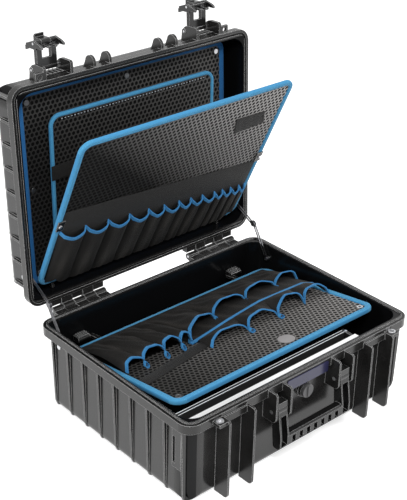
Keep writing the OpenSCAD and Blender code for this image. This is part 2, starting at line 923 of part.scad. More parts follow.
module lid_solids() {
    translate([0, 0, lid_top])
        mirror([0, 0, 1])
            tub(body_w, body_d, lid_h, body_r, lid_edge);
    translate([0, 0, lid_z])
        round_plate(case_w, case_d, rim_r, lid_rim_h);
    both_sides() {
        for (i = [0:rib_count - 1])
            side_rib_lid(case_d / 2 - rib_setback - i * rib_pitch);
        for (s = [-1, 1]) {
            along_x(latch_x + s * ear_x - ear_t / 2, ear_t)
                ear_outline(ear_reach);
            along_x(latch_x + s * (ear_x + ear_t / 2) - join, 2 * join)
                translate([ear_y, ear_z])
                    circle(boss_r);
            along_x(arm_x + s * flange_x - ear_t / 2, ear_t)
                bumper_outline();
        }
        lid_padlock_ledge();
        lid_hinge_shelf();
        for (i = [1:2:knuckles - 2])
            along_x(hinge_x0 + i * knuckle_len + side_gap / 2, knuckle_len - side_gap)
                lid_knuckle_outline();
        for (x = [0.28, 0.62])
            translate([body_w / 2 * x, 0, lid_top - join])
                round_plate(pad_w, body_d - 2 * pad_in, pad_r, pad_t + join);
    }
}

module lid_shell() {
    color(shell_colour)
        lid_open()
            difference() {
                union() {
                    difference() {
                        lid_solids();
                        translate([0, 0, lid_top - wall])
                            mirror([0, 0, 1])
                                tub(in_w, in_d, lid_h, in_r, lid_edge - wall);
                    }
                    for (p = post_rows)
                        translate([p[0], p[1], fixed_z + board_t])
                            cylinder(h = lid_top - wall + join - fixed_z - board_t, r = post_r);
                }
                translate([0, 0, lid_z - join])
                    difference() {
                        round_plate(case_w - 2 * tongue_in + 2 * groove_slack,
                            case_d - 2 * tongue_in + 2 * groove_slack,
                            rim_r - tongue_in + groove_slack, groove_depth + join);
                        translate([0, 0, -join])
                            round_plate(case_w - 2 * (tongue_in + tongue_w) - 2 * groove_slack,
                                case_d - 2 * (tongue_in + tongue_w) - 2 * groove_slack,
                                rim_r - tongue_in - tongue_w - groove_slack,
                                groove_depth + 3 * join);
                    }
                for (p = post_rows)
                    translate([p[0], p[1], fixed_z])
                        cylinder(h = 14, r = 2 + fit);
                both_sides() {
                    bar_x(hinge, hinge_pin_r + fit, hinge_x0, hinge_x1 - hinge_x0);
                    bar_x([ear_y, ear_z], latch_pin_r + fit, latch_x - latch_gap, 2 * latch_gap);
                    bar_x(shut(stay_lid), stay_rivet_r + fit, upper_x, 30);
                    translate([padlock_x, rim_front_y - padlock_out, lid_z])
                        cylinder(h = 14, r = padlock_r + 0.5);
                }
            }
}

module lid_gasket() {
    color(dark_colour)
        lid_open()
            translate([0, 0, lid_z + groove_depth - gasket_h])
                difference() {
                    round_plate(case_w - 2 * tongue_in, case_d - 2 * tongue_in, rim_r - tongue_in,
                        gasket_h);
                    translate([0, 0, -join])
                        round_plate(case_w - 2 * (tongue_in + tongue_w),
                            case_d - 2 * (tongue_in + tongue_w), rim_r - tongue_in - tongue_w,
                            gasket_h + 2 * join);
                }
}

// ---------- latches ----------

module latch_ear_pins() {
    color(steel_colour)
        lid_open()
            both_sides()
                bar_x([ear_y, ear_z], latch_pin_r, latch_x - ear_x - ear_t / 2 - join,
                    2 * (ear_x + join) + ear_t);
}

// Draws the latch about its ear pin as it stands open: the shut shape turned back
module latch_at(side) {
    lid_open()
        translate([side * latch_x, ear_y, ear_z])
            rotate([-90, 0, 0])
                children();
}

// Fork-shaped link, hanging from the ear pin at the origin
module link(side) {
    color(shell_colour)
        latch_at(side)
            difference() {
                union() {
                    bar_x([0, 0], boss_r, -link_w / 2, link_w);
                    translate([-link_w / 2, -link_t / 2, -link_len])
                        cube([link_w, link_t, link_len]);
                    bar_x([0, -link_len], boss_r, -link_w / 2, link_w);
                }
                translate([-hook_w / 2 - 0.5, -link_t, -link_len - 2 * boss_r])
                    cube([hook_w + 1, 2 * link_t, lever_top + 2 * boss_r + 1.5]);
                translate([-hook_w / 2 - 0.5, -link_t, -link_len])
                    cube([hook_w + 1, link_t, link_len - boss_r]);
                bar_x([0, 0], latch_pin_r + fit, -link_w, 2 * link_w);
                bar_x([0, -link_len], latch_pin_r + fit, -link_w, 2 * link_w);
            }
}

module lever_pin(side) {
    color(steel_colour)
        latch_at(side)
            bar_x([0, -link_len], latch_pin_r, -lever_w / 2, lever_w);
}

// Tooth that reaches back under the keeper ledge, as [y, z] about the lever's pin
module hook_outline() {
    tip_z = keeper_z - hook_gap - lever_z;
    skin_y = -lever_face + 1;
    circle(boss_r);
    polygon([[0, boss_r], [skin_y, boss_r], [skin_y, tip_z - hook_t], [hook_y - 4, tip_z - hook_t],
        [hook_y, tip_z - 2], [hook_y, tip_z], [boss_r, tip_z], [boss_r, 0]]);
}

// Lever about its own pin, hanging as on the shut case
module lever_shape() {
    skin_y = -lever_face + 1;
    plate_z = -boss_r - 0.5;
    difference() {
        union() {
            // Lower plate with a lip that points forwards
            along_x(-lever_w / 2, lever_w)
                polygon([[-lever_face, plate_z], [-lever_face + lever_skin, plate_z],
                    [-lever_face + lever_skin, -lever_len], [-lever_face - lip, -lever_len],
                    [-lever_face - lip, -lever_len + 2], [-lever_face, -lever_len + 5]]);
            // Middle prongs
            for (s = [-1, 1])
                along_x(s * (hook_w - prong_w) / 2 - prong_w / 2, prong_w)
                    polygon([[-lever_face, plate_z - join], [skin_y - 1 + lever_skin, plate_z - join],
                        [-lever_face + lever_skin, prong_step - 1],
                        [-prong_face + lever_skin, prong_step + 2],
                        [-prong_face + lever_skin, lever_top], [-prong_face, lever_top],
                        [-prong_face, prong_step + 2], [-lever_face, prong_step]]);
            // Outer prongs
            for (s = [-1, 1])
                along_x(s * (lever_w - cheek_t) / 2 - cheek_t / 2, cheek_t) {
                    circle(boss_r);
                    polygon([[boss_r, 0], [1, lever_top - 6], [-2, lever_top], [-prong_face, lever_top],
                        [-prong_face, prong_step + 2], [-lever_face, prong_step],
                        [-lever_face, -lever_len + 2], [-2, -lever_len + 2]]);
                }
            along_x(-hook_w / 2, hook_w)
                hook_outline();
            // Stiffening ribs behind the lower plate
            for (s = [-1, 1], x = [0.12, 0.25, 0.38])
                along_x(s * lever_w * x - rib_w / 2, rib_w)
                    polygon([[skin_y, plate_z], [0, plate_z], [0.5, plate_z - 4],
                        [-2, -lever_len + 5], [skin_y, -lever_len + 1]]);
        }
        bar_x([0, 0], latch_pin_r + fit, -lever_w, 2 * lever_w);
    }
}

module lever(side) {
    color(shell_colour)
        latch_at(side)
            translate([0, 0, -link_len])
                rotate([-90, 0, 0])
                    lever_shape();
}

module latch_link_left() { link(-1); }
module latch_link_right() { link(1); }
module latch_lever_pin_left() { lever_pin(-1); }
module latch_lever_pin_right() { lever_pin(1); }
module latch_lever_left() { lever(-1); }
module latch_lever_right() { lever(1); }

// ---------- boards ----------

// Flat board from y0 towards the front, with its middle plane at z = 0
module panel(w, len, y0) {
    translate([0, y0 - len / 2, -board_t / 2])
        round_plate(w, len, board_r, board_t);
}

// Edge binding around a panel of the same sizes
module binding(w, len, y0) {
    translate([0, y0 - len / 2, -bind_h / 2])
        difference() {
            round_plate(w + 2 * bind_w, len + 2 * bind_w, board_r + bind_w, bind_h);
            translate([0, 0, -join])
                round_plate(w, len, board_r, bind_h + 2 * join);
        }
}

// Hinge lugs between a board and its axis, with pins that point outwards
module pivots(x, pin_len, lead) {
    both_sides() {
        translate([x, -lead, -board_t])
            cube([lug_w, lead, 2 * board_t]);
        bar_x([0, 0], board_t, x, lug_w);
        bar_x([0, 0], board_pin_r, x + lug_w - join, pin_len + join);
    }
}

module lid_board_fixed() {
    color(dark_colour)
        lid_open()
            translate([0, 0, fixed_z])
                difference() {
                    round_plate(fixed_w, fixed_d, board_r, board_t);
                    for (p = post_rows)
                        translate([p[0], p[1], -join])
                            cylinder(h = board_t + 2 * join, r = 2 + fit);
                }
}

module lid_board_fixed_binding() {
    color(blue_colour)
        lid_open()
            translate([0, 0, fixed_z + board_t / 2])
                binding(fixed_w, fixed_d, fixed_d / 2);
}

module lid_board_rivets() {
    color(steel_colour)
        lid_open()
            for (p = post_rows)
                translate([p[0], p[1], fixed_z]) {
                    translate([0, 0, -rivet_head_t])
                        cylinder(h = rivet_head_t, r = rivet_head_r);
                    translate([0, 0, -join])
                        cylinder(h = 12, r = 2);
                }
}

// Side brackets in the lid with an eye for each swinging board
module lid_board_brackets() {
    wall_y = in_d / 2;
    f = front_axis;
    m = middle_axis;
    color(dark_colour)
        lid_open()
            both_sides()
                difference() {
                    along_x(bracket_x, bracket_t) {
                        translate(f)
                            circle(bracket_eye_r);
                        translate(m)
                            circle(bracket_eye_r);
                        polygon([[wall_y, m[1] - bracket_eye_r], [f[0] + bracket_eye_r, m[1] - bracket_eye_r],
                            [f[0] + bracket_eye_r, f[1]], [f[0] - bracket_eye_r, f[1]],
                            [m[0] - bracket_eye_r, m[1]], [m[0], m[1] + bracket_eye_r],
                            [wall_y, m[1] + bracket_eye_r]]);
                    }
                    bar_x(f, board_pin_r + fit, bracket_x - join, bracket_t + 2 * join);
                    bar_x(m, board_pin_r + fit, bracket_x - join, bracket_t + 2 * join);
                }
}

module middle_board() {
    lid_open()
        board_at(middle_axis, middle_lean)
            children();
}

module lid_board_middle() {
    color(dark_colour)
        middle_board()
            panel(middle_w, middle_len, middle_y0);
}

module lid_board_middle_binding() {
    color(blue_colour)
        middle_board()
            binding(middle_w, middle_len, middle_y0);
}

module lid_board_middle_pivots() {
    color(dark_colour)
        middle_board()
            pivots(middle_lug_x, bracket_x + bracket_t - middle_lug_x - lug_w, pivot_lead);
}

module lid_board_middle_strap() {
    color(dark_colour)
        middle_board()
            translate([-middle_w / 2, -strap_v - strap_w, -board_t / 2 - strap_t])
                cube([middle_w, strap_w, strap_t]);
}

// Openings in the front board where the brackets' eyes pass through, as deep as reach
module bracket_windows(reach) {
    both_sides()
        translate([bracket_x - side_gap - lug_w - 1, -pivot_lead, -reach])
            cube([lug_w + side_gap + bracket_t + 3, pivot_lead + bracket_eye_r + 2.5, 2 * reach]);
}

module front_board() {
    lid_open()
        board_at(front_axis, front_lean)
            children();
}

module lid_board_front() {
    color(dark_colour)
        front_board()
            difference() {
                panel(board_w, front_len, front_tail);
                bracket_windows(board_t);
            }
}

module lid_board_front_binding() {
    color(blue_colour)
        front_board()
            binding(board_w, front_len, front_tail);
}

module lid_board_front_pivots() {
    color(dark_colour)
        front_board()
            pivots(bracket_x - side_gap - lug_w, bracket_t + side_gap, pivot_lead);
}

// Filled pocket row along the front board's lower edge
module lid_board_front_pockets() {
    color(dark_colour)
        front_board()
            difference() {
                translate([0, 0, -board_t / 2 - lid_pocket_t])
                    linear_extrude(lid_pocket_t)
                        polygon([[-pocket_w / 2, front_tail - 4], [pocket_w / 2, front_tail - 4],
                            [pocket_w / 2, -lid_mouth_low], [-pocket_w / 2, -lid_mouth_high]]);
                bracket_windows(bracket_eye_r + 2.5);
            }
}

module lid_board_front_webbing() {
    color(dark_colour)
        front_board()
            translate([0, 0, -board_t / 2 - strap_t])
                linear_extrude(strap_t)
                    polygon([[-board_w / 2, -band_high], [board_w / 2, -band_low],
                        [board_w / 2, -band_low - strap_w], [-board_w / 2, -band_high - strap_w]]);
}

module lid_board_front_clips() {
    color(dark_colour)
        front_board()
            both_sides()
                translate([board_w / 2 - clip_w + bind_w, -clip_v, -bind_h / 2 - clip_t])
                    cube([clip_w, clip_len, clip_t]);
}

module lid_board_front_patch() {
    color(dark_colour)
        front_board()
            translate([board_w / 2 - patch_in, -patch_v - patch_h, -board_t / 2 - strap_t])
                cube([patch_w, patch_h, strap_t]);
}

module base_leaf() {
    board_at(base_axis, -base_board_lean)
        children();
}

module base_board() {
    color(dark_colour)
        base_leaf()
            panel(board_w, base_board_len, base_y0);
}

module base_board_binding() {
    color(blue_colour)
        base_leaf()
            binding(board_w, base_board_len, base_y0);
}

module base_board_pivots() {
    color(dark_colour)
        base_leaf()
            pivots(base_lug_x - lug_w - side_gap, base_pin_len, base_lead);
}

// Blocks on the inner back wall that carry the base board
module board_clips() {
    a = base_axis;
    color(dark_colour)
        both_sides()
            difference() {
                along_x(base_lug_x, clip_block_w) {
                    translate(a)
                        circle(bracket_eye_r);
                    translate([a[0], a[1] - bracket_eye_r])
                        square([in_d / 2 - a[0], 2 * bracket_eye_r]);
                }
                bar_x(a, board_pin_r + fit, base_lug_x - join, base_pin_len + 2 * join);
            }
}

// A pocket row swells from its closed foot to its mouth
module base_pocket_row(y0, len) {
    along_x(-pocket_w / 2, pocket_w)
        polygon([[y0, board_t / 2], [y0, board_t / 2 + base_pocket_t * 0.3],
            [y0 - len * 0.5, board_t / 2 + base_pocket_t],
            [y0 - len, board_t / 2 + base_pocket_t], [y0 - len, board_t / 2]]);
}

module base_pockets_rear() {
    color(dark_colour)
        base_leaf()
            base_pocket_row(base_y0 - row_gap, rear_pocket_len);
}

module base_pockets_front() {
    color(dark_colour)
        base_leaf()
            base_pocket_row(base_y0 - row_gap - rear_pocket_len - 2, front_pocket_len);
}

module base_board_webbing() {
    color(dark_colour)
        base_leaf()
            translate([-board_w / 2, base_y0 - row_gap - rear_pocket_len - front_pocket_len - strap_w - 4,
                board_t / 2])
                cube([base_strap_len, strap_w, strap_t]);
}

module base_board_eyelets() {
    color(steel_colour)
        base_leaf()
            both_sides()
                translate([board_w / 2 - eyelet_in, base_y0 - base_board_len + eyelet_in, board_t / 2])
                    difference() {
                        cylinder(h = 1.2, r = 5.5);
                        translate([0, 0, -join])
                            cylinder(h = 4, r = 2.8);
                    }
}

module base_board_disc() {
    color([0.4, 0.4, 0.42])
        base_leaf()
            translate([disc_x, base_y0 - base_board_len + disc_y, board_t / 2])
                cylinder(h = 1, r = disc_r);
}

base_shell();
padlock_eyelets();
name_plate();
valve_body();
valve_seal();
valve_knob();
handle_pins();
handle();
hinge_pin_left();
hinge_pin_right();
stay_rivets_base();
board_clips();
rail_end_left();
rail_end_right();
front_rail();
divider_channel();
channel_screw();
lid_shell();
lid_gasket();
latch_ear_pins();
stay_rivets_lid();
lid_board_fixed();
lid_board_fixed_binding();
lid_board_rivets();
lid_board_brackets();
latch_link_left();
latch_link_right();
latch_lever_pin_left();
latch_lever_pin_right();
latch_lever_left();
latch_lever_right();
stay_lower_left();
stay_lower_right();
stay_knee_left();
stay_knee_right();
stay_upper_left();
stay_upper_right();
base_board();
base_board_binding();
base_board_pivots();
base_pockets_rear();
base_pockets_front();
base_board_webbing();
base_board_eyelets();
base_board_disc();
lid_board_middle();
lid_board_middle_binding();
lid_board_middle_pivots();
lid_board_middle_strap();
lid_board_front();
lid_board_front_binding();
lid_board_front_pivots();
lid_board_front_pockets();
lid_board_front_webbing();
lid_board_front_clips();
lid_board_front_patch();
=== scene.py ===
# %% [markdown]
# # A hard tool case with an open lid
# The case is a finished CAD assembly: shells, hinges, latches, stays and four boards,
# three of which swing. This lesson dresses it. The hard parts keep their CAD shapes and
# get moulded plastic and metal finishes. The blue bindings, the perforated skins, the
# sewn pockets and a few small raised details are modelled here, and each rides on the
# body that carries it.

# %% Load the frame
import bpy
import json
import math
from mathutils import Matrix, Vector


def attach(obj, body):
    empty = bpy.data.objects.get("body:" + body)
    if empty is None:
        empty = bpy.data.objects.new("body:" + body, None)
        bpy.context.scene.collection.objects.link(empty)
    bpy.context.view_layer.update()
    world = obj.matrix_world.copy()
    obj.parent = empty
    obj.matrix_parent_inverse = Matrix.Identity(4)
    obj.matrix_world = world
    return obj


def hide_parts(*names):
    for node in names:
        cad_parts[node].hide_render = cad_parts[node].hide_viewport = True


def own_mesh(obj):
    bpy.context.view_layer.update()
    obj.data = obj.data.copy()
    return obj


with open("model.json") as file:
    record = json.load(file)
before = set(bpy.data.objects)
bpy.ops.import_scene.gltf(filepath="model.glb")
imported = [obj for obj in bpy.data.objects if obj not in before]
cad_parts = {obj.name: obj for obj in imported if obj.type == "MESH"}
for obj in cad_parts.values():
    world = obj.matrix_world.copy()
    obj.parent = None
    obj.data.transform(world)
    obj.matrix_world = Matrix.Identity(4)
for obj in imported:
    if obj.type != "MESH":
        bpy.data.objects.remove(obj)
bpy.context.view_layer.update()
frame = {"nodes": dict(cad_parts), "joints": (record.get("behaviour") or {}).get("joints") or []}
nodes = frame["nodes"]
joints = {joint["name"]: joint for joint in frame["joints"]}

# %% [markdown]
# ## The camera
# The case is seen from its front left corner and from above. A camera looks along its
# own -Z, so its three axes are worked out from two angles and a small roll and set as
# one matrix. That is exact, where aiming by eye would drift.

# %% Camera
AZIMUTH, ELEVATION, ROLL = math.radians(-42.083), math.radians(28.3295), math.radians(1.2296)
EYE = Vector((-1.19619, -1.26289, 1.22709))
SENSOR, LENS = 36, 85.56


def set_camera():
    forward = Vector((-math.sin(AZIMUTH) * math.cos(ELEVATION),
                      math.cos(AZIMUTH) * math.cos(ELEVATION), -math.sin(ELEVATION)))
    right = forward.cross(Vector((0, 0, 1))).normalized()
    up = right.cross(forward)
    across = right * math.cos(ROLL) + up * math.sin(ROLL)
    above = up * math.cos(ROLL) - right * math.sin(ROLL)
    camera = bpy.data.objects.new("camera", bpy.data.cameras.new("camera"))
    bpy.context.scene.collection.objects.link(camera)
    camera.matrix_world = Matrix.Translation(EYE) @ Matrix(
        (across, above, -forward)).transposed().to_4x4()
    camera.data.sensor_width = SENSOR
    camera.data.lens = LENS
    bpy.context.scene.camera = camera
    return camera


print("camera lens:", set_camera().data.lens)

# %% [markdown]
# ## Hands
# Most pieces start as a primitive that is added with nothing selected, shaped in edit
# mode and finished with modifiers that are applied. Cloth is a grid whose points a rule
# places. These small helpers hold a piece and apply things to it, so that each piece's
# cell shows only its shape.

# %% Helpers for holding and applying
MM = 0.001


def clear_hand():
    """Leaves nothing selected, in object mode, before a primitive is added."""
    if bpy.context.object and bpy.context.object.mode != "OBJECT":
        bpy.ops.object.mode_set(mode="OBJECT")
    bpy.ops.object.select_all(action="DESELECT")


def hold(obj):
    """Makes obj the only selected object."""
    clear_hand()
    obj.select_set(True)
    bpy.context.view_layer.objects.active = obj


def named(name):
    """Names the active object and its mesh."""
    obj = bpy.context.object
    obj.name = obj.data.name = name
    return obj


def settle():
    """Puts the active object's place, turn and scale into its mesh."""
    bpy.ops.object.transform_apply(location=True, rotation=True, scale=True)


def pick_all(obj, kind):
    """Enters edit mode with every face or every point selected."""
    hold(obj)
    bpy.ops.object.mode_set(mode="EDIT")
    bpy.ops.mesh.select_mode(type=kind)
    bpy.ops.mesh.select_all(action="SELECT")


def put_down():
    """Goes back to object mode after the edits."""
    bpy.ops.object.mode_set(mode="OBJECT")


def apply(obj, kind, **settings):
    """Adds one modifier with its settings and applies it."""
    hold(obj)
    modifier = obj.modifiers.new(kind, kind)
    for key, value in settings.items():
        setattr(modifier, key, value)
    bpy.ops.object.modifier_apply(modifier=modifier.name)


def repeat(obj, count, step, **settings):
    """Copies a piece's shape along a step."""
    apply(obj, "ARRAY", count=count, use_relative_offset=False, use_constant_offset=True,
          constant_offset_displace=step, **settings)


def join(pieces, name):
    """Joins pieces into one."""
    hold(pieces[0])
    for piece in pieces[1:]:
        piece.select_set(True)
    bpy.ops.object.join()
    return named(name)


def paint(obj, finish):
    """Makes a finish the only material of a piece."""
    obj.data.materials.clear()
    obj.data.materials.append(finish)


def wear(obj, finish, angle, body):
    """Gives a piece its finish and its body, and smooths it where it bends less than angle."""
    paint(obj, finish)
    hold(obj)
    bpy.ops.object.shade_smooth_by_angle(angle=math.radians(angle))
    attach(obj, body)
    return obj


print("one millimetre:", MM)

# %% [markdown]
# ## Board coordinates
# Each board lies at its own lean. Its pieces are easier to shape flat, so they are made
# in the board's own coordinates, x across, y along and z out of the face one sees, and
# carried to the case by one matrix. The CAD node, read in those coordinates, gives the
# board's real edges, so nothing is measured twice.

# %% Board frames
def span(node, matrix):
    """Lowest and highest corner of a CAD node in a board's coordinates."""
    back = matrix.inverted()
    points = [back @ v.co for v in nodes[node].data.vertices]
    return (Vector([min(p[i] for p in points) for i in range(3)]),
            Vector([max(p[i] for p in points) for i in range(3)]))


def board_frame(node, origin, lean, seen_from_below):
    """Matrix from a board's coordinates, with its seen face at height 0, to the case's."""
    turn = Matrix.Rotation(math.radians(lean), 4, "X")
    if seen_from_below:
        turn = turn @ Matrix.Rotation(math.pi, 4, "X")
    matrix = Matrix.Translation(origin) @ turn
    return matrix @ Matrix.Translation((0, 0, span(node, matrix)[1].z))


def axis_of(joint):
    """The point of a joint's axis in the middle of the case."""
    return Vector((0, *joints[joint]["pos_m"][1:]))


LID_ANGLE = joints["lid_hinge"]["range_deg"][1]
# Degrees: the base board's lean, and how far two lid boards stand off the open lid.
BASE_LEAN, FRONT_LEAN, MIDDLE_LEAN = -9, 27.6, 2.4
BOARDS = {
    "base": board_frame("base_board", axis_of("base_board_lift"), BASE_LEAN, False),
    "front": board_frame("lid_board_front", axis_of("lid_board_front_swing"),
                         FRONT_LEAN - LID_ANGLE, True),
    "middle": board_frame("lid_board_middle", axis_of("lid_board_middle_swing"),
                          MIDDLE_LEAN - LID_ANGLE, True),
    "fixed": board_frame("lid_board_fixed", Vector((0, 0, 0)), -LID_ANGLE, True),
}
NODE = {"base": "base_board", "front": "lid_board_front", "middle": "lid_board_middle",
        "fixed": "lid_board_fixed"}
BODY = dict(NODE, fixed="lid")
print("boards:", {name: [round(v, 3) for v in matrix.translation]
                  for name, matrix in BOARDS.items()})

# %% [markdown]
# ## Finishes
# A finish is a small network of nodes. Each kind of material gets one function that
# builds it, so that its members differ only in a few numbers. The helpers below stand
# for the steps that every network repeats.

# %% Node helpers
def empty_tree(owner, output):
    """Clears the node tree of a material or a world and gives it its output node."""
    owner.use_nodes = True
    tree = owner.node_tree
    tree.nodes.clear()
    return tree, tree.nodes.new(output)


def new_finish(name):
    """An empty finish: its material, its node tree and its shader."""
    material = bpy.data.materials.new(name)
    tree, out = empty_tree(material, "ShaderNodeOutputMaterial")
    shader = tree.nodes.new("ShaderNodeBsdfPrincipled")
    tree.links.new(shader.outputs[0], out.inputs[0])
    return material, tree, shader


def parts_of(material):
    """The node tree of a finish and its shader."""
    tree = material.node_tree
    return tree, next(node for node in tree.nodes if node.type == "BSDF_PRINCIPLED")


def add_node(tree, kind, links=(), **sockets):
    """Adds a node, sets its sockets by name and links others into it."""
    node = tree.nodes.new(kind)
    for key, value in sockets.items():
        if key in node.inputs.keys():
            node.inputs[key].default_value = value
        else:
            setattr(node, key, value)
    for source, target in links:
        tree.links.new(source, node.inputs[target])
    return node


def compute(tree, operation, first, second, vector=False):
    """One calculation on two inputs, the second a socket or a fixed value."""
    node = add_node(tree, "ShaderNodeVectorMath" if vector else "ShaderNodeMath", [(first, 0)],
                    operation=operation)
    if hasattr(second, "links"):
        tree.links.new(second, node.inputs[1])
    else:
        node.inputs[1].default_value = second
    return node


def coordinates(tree, source):
    return tree.nodes.new("ShaderNodeTexCoord").outputs[source]


def stretched(tree, source, scale=(1, 1, 1)):
    """Coordinates scaled along each axis, so that a pattern on them is drawn out."""
    return add_node(tree, "ShaderNodeMapping", [(coordinates(tree, source), "Vector")],
                    Scale=scale).outputs[0]


def ramp(tree, factor, low, high, start=0.0, end=1.0):
    """Turns a factor into a colour between two."""
    node = tree.nodes.new("ShaderNodeValToRGB")
    node.color_ramp.elements[0].position = start
    node.color_ramp.elements[1].position = end
    node.color_ramp.elements[0].color = (*low, 1)
    node.color_ramp.elements[1].color = (*high, 1)
    tree.links.new(factor, node.inputs[0])
    return node.outputs[0]


def grade(tree, factor, low, high):
    """Turns a factor from 0 to 1 into a number between two."""
    node = tree.nodes.new("ShaderNodeMapRange")
    node.inputs["To Min"].default_value = low
    node.inputs["To Max"].default_value = high
    tree.links.new(factor, node.inputs["Value"])
    return node.outputs[0]


COLOUR_A, COLOUR_B, COLOUR_OUT = 6, 7, 2


def mix_colour(tree, shader, factor, colour, own=COLOUR_A):
    """Mixes a finish's own colour with another: A shows at factor 0 and B at factor 1."""
    mixed = add_node(tree, "ShaderNodeMix", [
        (factor, 0), (shader.inputs["Base Color"].links[0].from_socket, own)],
        data_type="RGBA")
    mixed.inputs[COLOUR_A + COLOUR_B - own].default_value = (*colour, 1)
    tree.links.new(mixed.outputs[COLOUR_OUT], shader.inputs["Base Color"])


def grey(level):
    return (level, level, level)


print("a mid grey:", grey(0.18))

# %% [markdown]
# ## Moulded plastic
# The case is mostly black plastic. Its colour varies a little, a fine grain lies in the
# bump, and its edges catch the light: the Bevel node rounds the normal at every sharp
# edge, as a real moulding is rounded, without touching the mesh. The colour is also
# painted paler where that rounded normal leaves the flat one, and that draws a thin
# painted highlight along each edge.

# %% Plastic
def round_and_grain(tree, shader, height, edge, strength, depth):
    """Rounds the normal at sharp edges and gives the surface a fine relief."""
    rounded = add_node(tree, "ShaderNodeBevel", samples=4, Radius=edge).outputs[0]
    bump = add_node(tree, "ShaderNodeBump", [(height, "Height"), (rounded, "Normal")],
                    Strength=strength, Distance=depth)
    tree.links.new(bump.outputs[0], shader.inputs["Normal"])
    return rounded


def vary(tree, shader, noise, dark, light, least, most):
    """Lets a noise move the colour between two tones and the roughness between two values."""
    tree.links.new(ramp(tree, noise, dark, light, 0.3, 0.7), shader.inputs["Base Color"])
    tree.links.new(grade(tree, noise, least, most), shader.inputs["Roughness"])


# How well the rounded normal agrees with the flat one where the painted edge highlight
# starts and where it is full.
EDGE_FROM, EDGE_FULL = 0.99, 0.86


def paint_edge_highlight(tree, shader, rounded, bright):
    """Paints a highlight: pales the colour where the rounded normal leaves the flat one, at each
    sharp edge.
    """
    flat = tree.nodes.new("ShaderNodeNewGeometry").outputs["Normal"]
    both = compute(tree, "DOT_PRODUCT", rounded, flat, vector=True)
    edge = add_node(tree, "ShaderNodeMapRange", [(both.outputs["Value"], "Value")])
    edge.inputs["From Min"].default_value = EDGE_FROM
    edge.inputs["From Max"].default_value = EDGE_FULL
    mix_colour(tree, shader, edge.outputs[0], grey(bright))


def moulded(name, dark, light, grain, depth, rough, edge=0.0009, specular=0.5, bright=0):
    """Plastic with a fine grain, a faint cloud of colour and rounded edges."""
    material, tree, shader = new_finish(name)
    at = stretched(tree, "Object")
    cloud = add_node(tree, "ShaderNodeTexNoise", [(at, "Vector")], Scale=24.0, Detail=5.0)
    fine = add_node(tree, "ShaderNodeTexNoise", [(at, "Vector")], Scale=grain, Detail=3.0)
    vary(tree, shader, cloud.outputs[0], dark, light, rough - 0.07, rough + 0.07)
    rounded = round_and_grain(tree, shader, fine.outputs[0], edge, 0.35, depth)
    shader.inputs["Specular IOR Level"].default_value = specular
    # A bright value paints a pale highlight line along every sharp edge.
    if bright:
        paint_edge_highlight(tree, shader, rounded, bright)
    return material


trim_finish = moulded("satin_black", grey(0.006), grey(0.012), grain=1400.0, depth=0.00004,
                      rough=0.19, edge=0.0011, specular=0.45, bright=0.42)
# The boards are black plastic; this near-black tone is their own colour, darkened further as
# painted shade seen through the skins' holes.
board_finish = moulded("board_sheet", grey(0.002), grey(0.004), grain=900.0, depth=0.00005,
                       rough=0.6, edge=0.0003, specular=0.08)
rubber_finish = moulded("seal_rubber", grey(0.008), grey(0.014), grain=800.0, depth=0.00005,
                        rough=0.7, edge=0.0004)
plate_finish = moulded("navy_lacquer", (0.012, 0.012, 0.045), (0.02, 0.02, 0.07), grain=600.0,
                       depth=0.00002, rough=0.2, edge=0.0004)
disc_finish = moulded("grey_disc", (0.20, 0.19, 0.19), (0.27, 0.26, 0.26), grain=900.0,
                      depth=0.00004, rough=0.45, edge=0.0003)
knob_finish = moulded("grey_knob", (0.06, 0.06, 0.062), (0.10, 0.10, 0.102), grain=1200.0,
                      depth=0.00008, rough=0.45)
print("plastics:", len(bpy.data.materials))

# %% [markdown]
# ## The shells
# Each shell is one moulding, and deep inside it looks blacker and duller than outside.
# The finish stands in for that shade and keeps it when the lamps move. A CAD node's mesh
# stays whole, so the finish asks where a point lies: within a box near the shell's
# hollow it takes the inner tone. The lid's box leans back with the open lid.

# %% Shell finishes
# Half sizes of the two hollows, and the height of their middles with the lid shut.
BASE_HOLLOW, BASE_HOLLOW_Z = (0.2445, 0.1838, 0.0795), 0.080
LID_HOLLOW, LID_HOLLOW_Z = (0.2445, 0.1838, 0.034), 0.188
OUTER_SHINE = 0.42


def inside_of(tree, half, middle, lean):
    """1 inside a leaning box and 0 outside it."""
    box = add_node(tree, "ShaderNodeMapping", [(coordinates(tree, "Object"), "Vector")],
                   vector_type="TEXTURE", Location=middle, Rotation=(lean, 0, 0), Scale=half)
    size = add_node(tree, "ShaderNodeVectorMath", [(box.outputs[0], 0)], operation="ABSOLUTE")
    side = add_node(tree, "ShaderNodeSeparateXYZ", [(size.outputs[0], 0)])
    flat = compute(tree, "MAXIMUM", side.outputs[0], side.outputs[1])
    most = compute(tree, "MAXIMUM", flat.outputs[0], side.outputs[2])
    return compute(tree, "LESS_THAN", most.outputs[0], 1.0).outputs[0]


def shell_plastic(name, half, middle, lean, inner_shine):
    """The shells' plastic: grained outside, deeper black and duller on the inner faces."""
    material = moulded(name, (0.009, 0.0088, 0.0085), (0.019, 0.0185, 0.018), grain=1500.0,
                       depth=0.00005, rough=0.21, edge=0.0014, bright=0.44)
    tree, shader = parts_of(material)
    inner = inside_of(tree, half, middle, lean)
    mix_colour(tree, shader, inner, (0.004, 0.0042, 0.0046))
    tree.links.new(grade(tree, inner, OUTER_SHINE, inner_shine),
                   shader.inputs["Specular IOR Level"])
    return material


hinge_point = axis_of("lid_hinge")
lid_middle = hinge_point + Matrix.Rotation(math.radians(-LID_ANGLE), 3, "X") @ (
    Vector((0, 0, LID_HOLLOW_Z)) - hinge_point)
base_finish = shell_plastic("grained_base", BASE_HOLLOW, (0, 0, BASE_HOLLOW_Z), 0, 0.16)
lid_finish = shell_plastic("grained_lid", LID_HOLLOW, lid_middle, math.radians(-LID_ANGLE), 0.06)
print("middle of the lid's hollow:", [round(v, 3) for v in lid_middle])
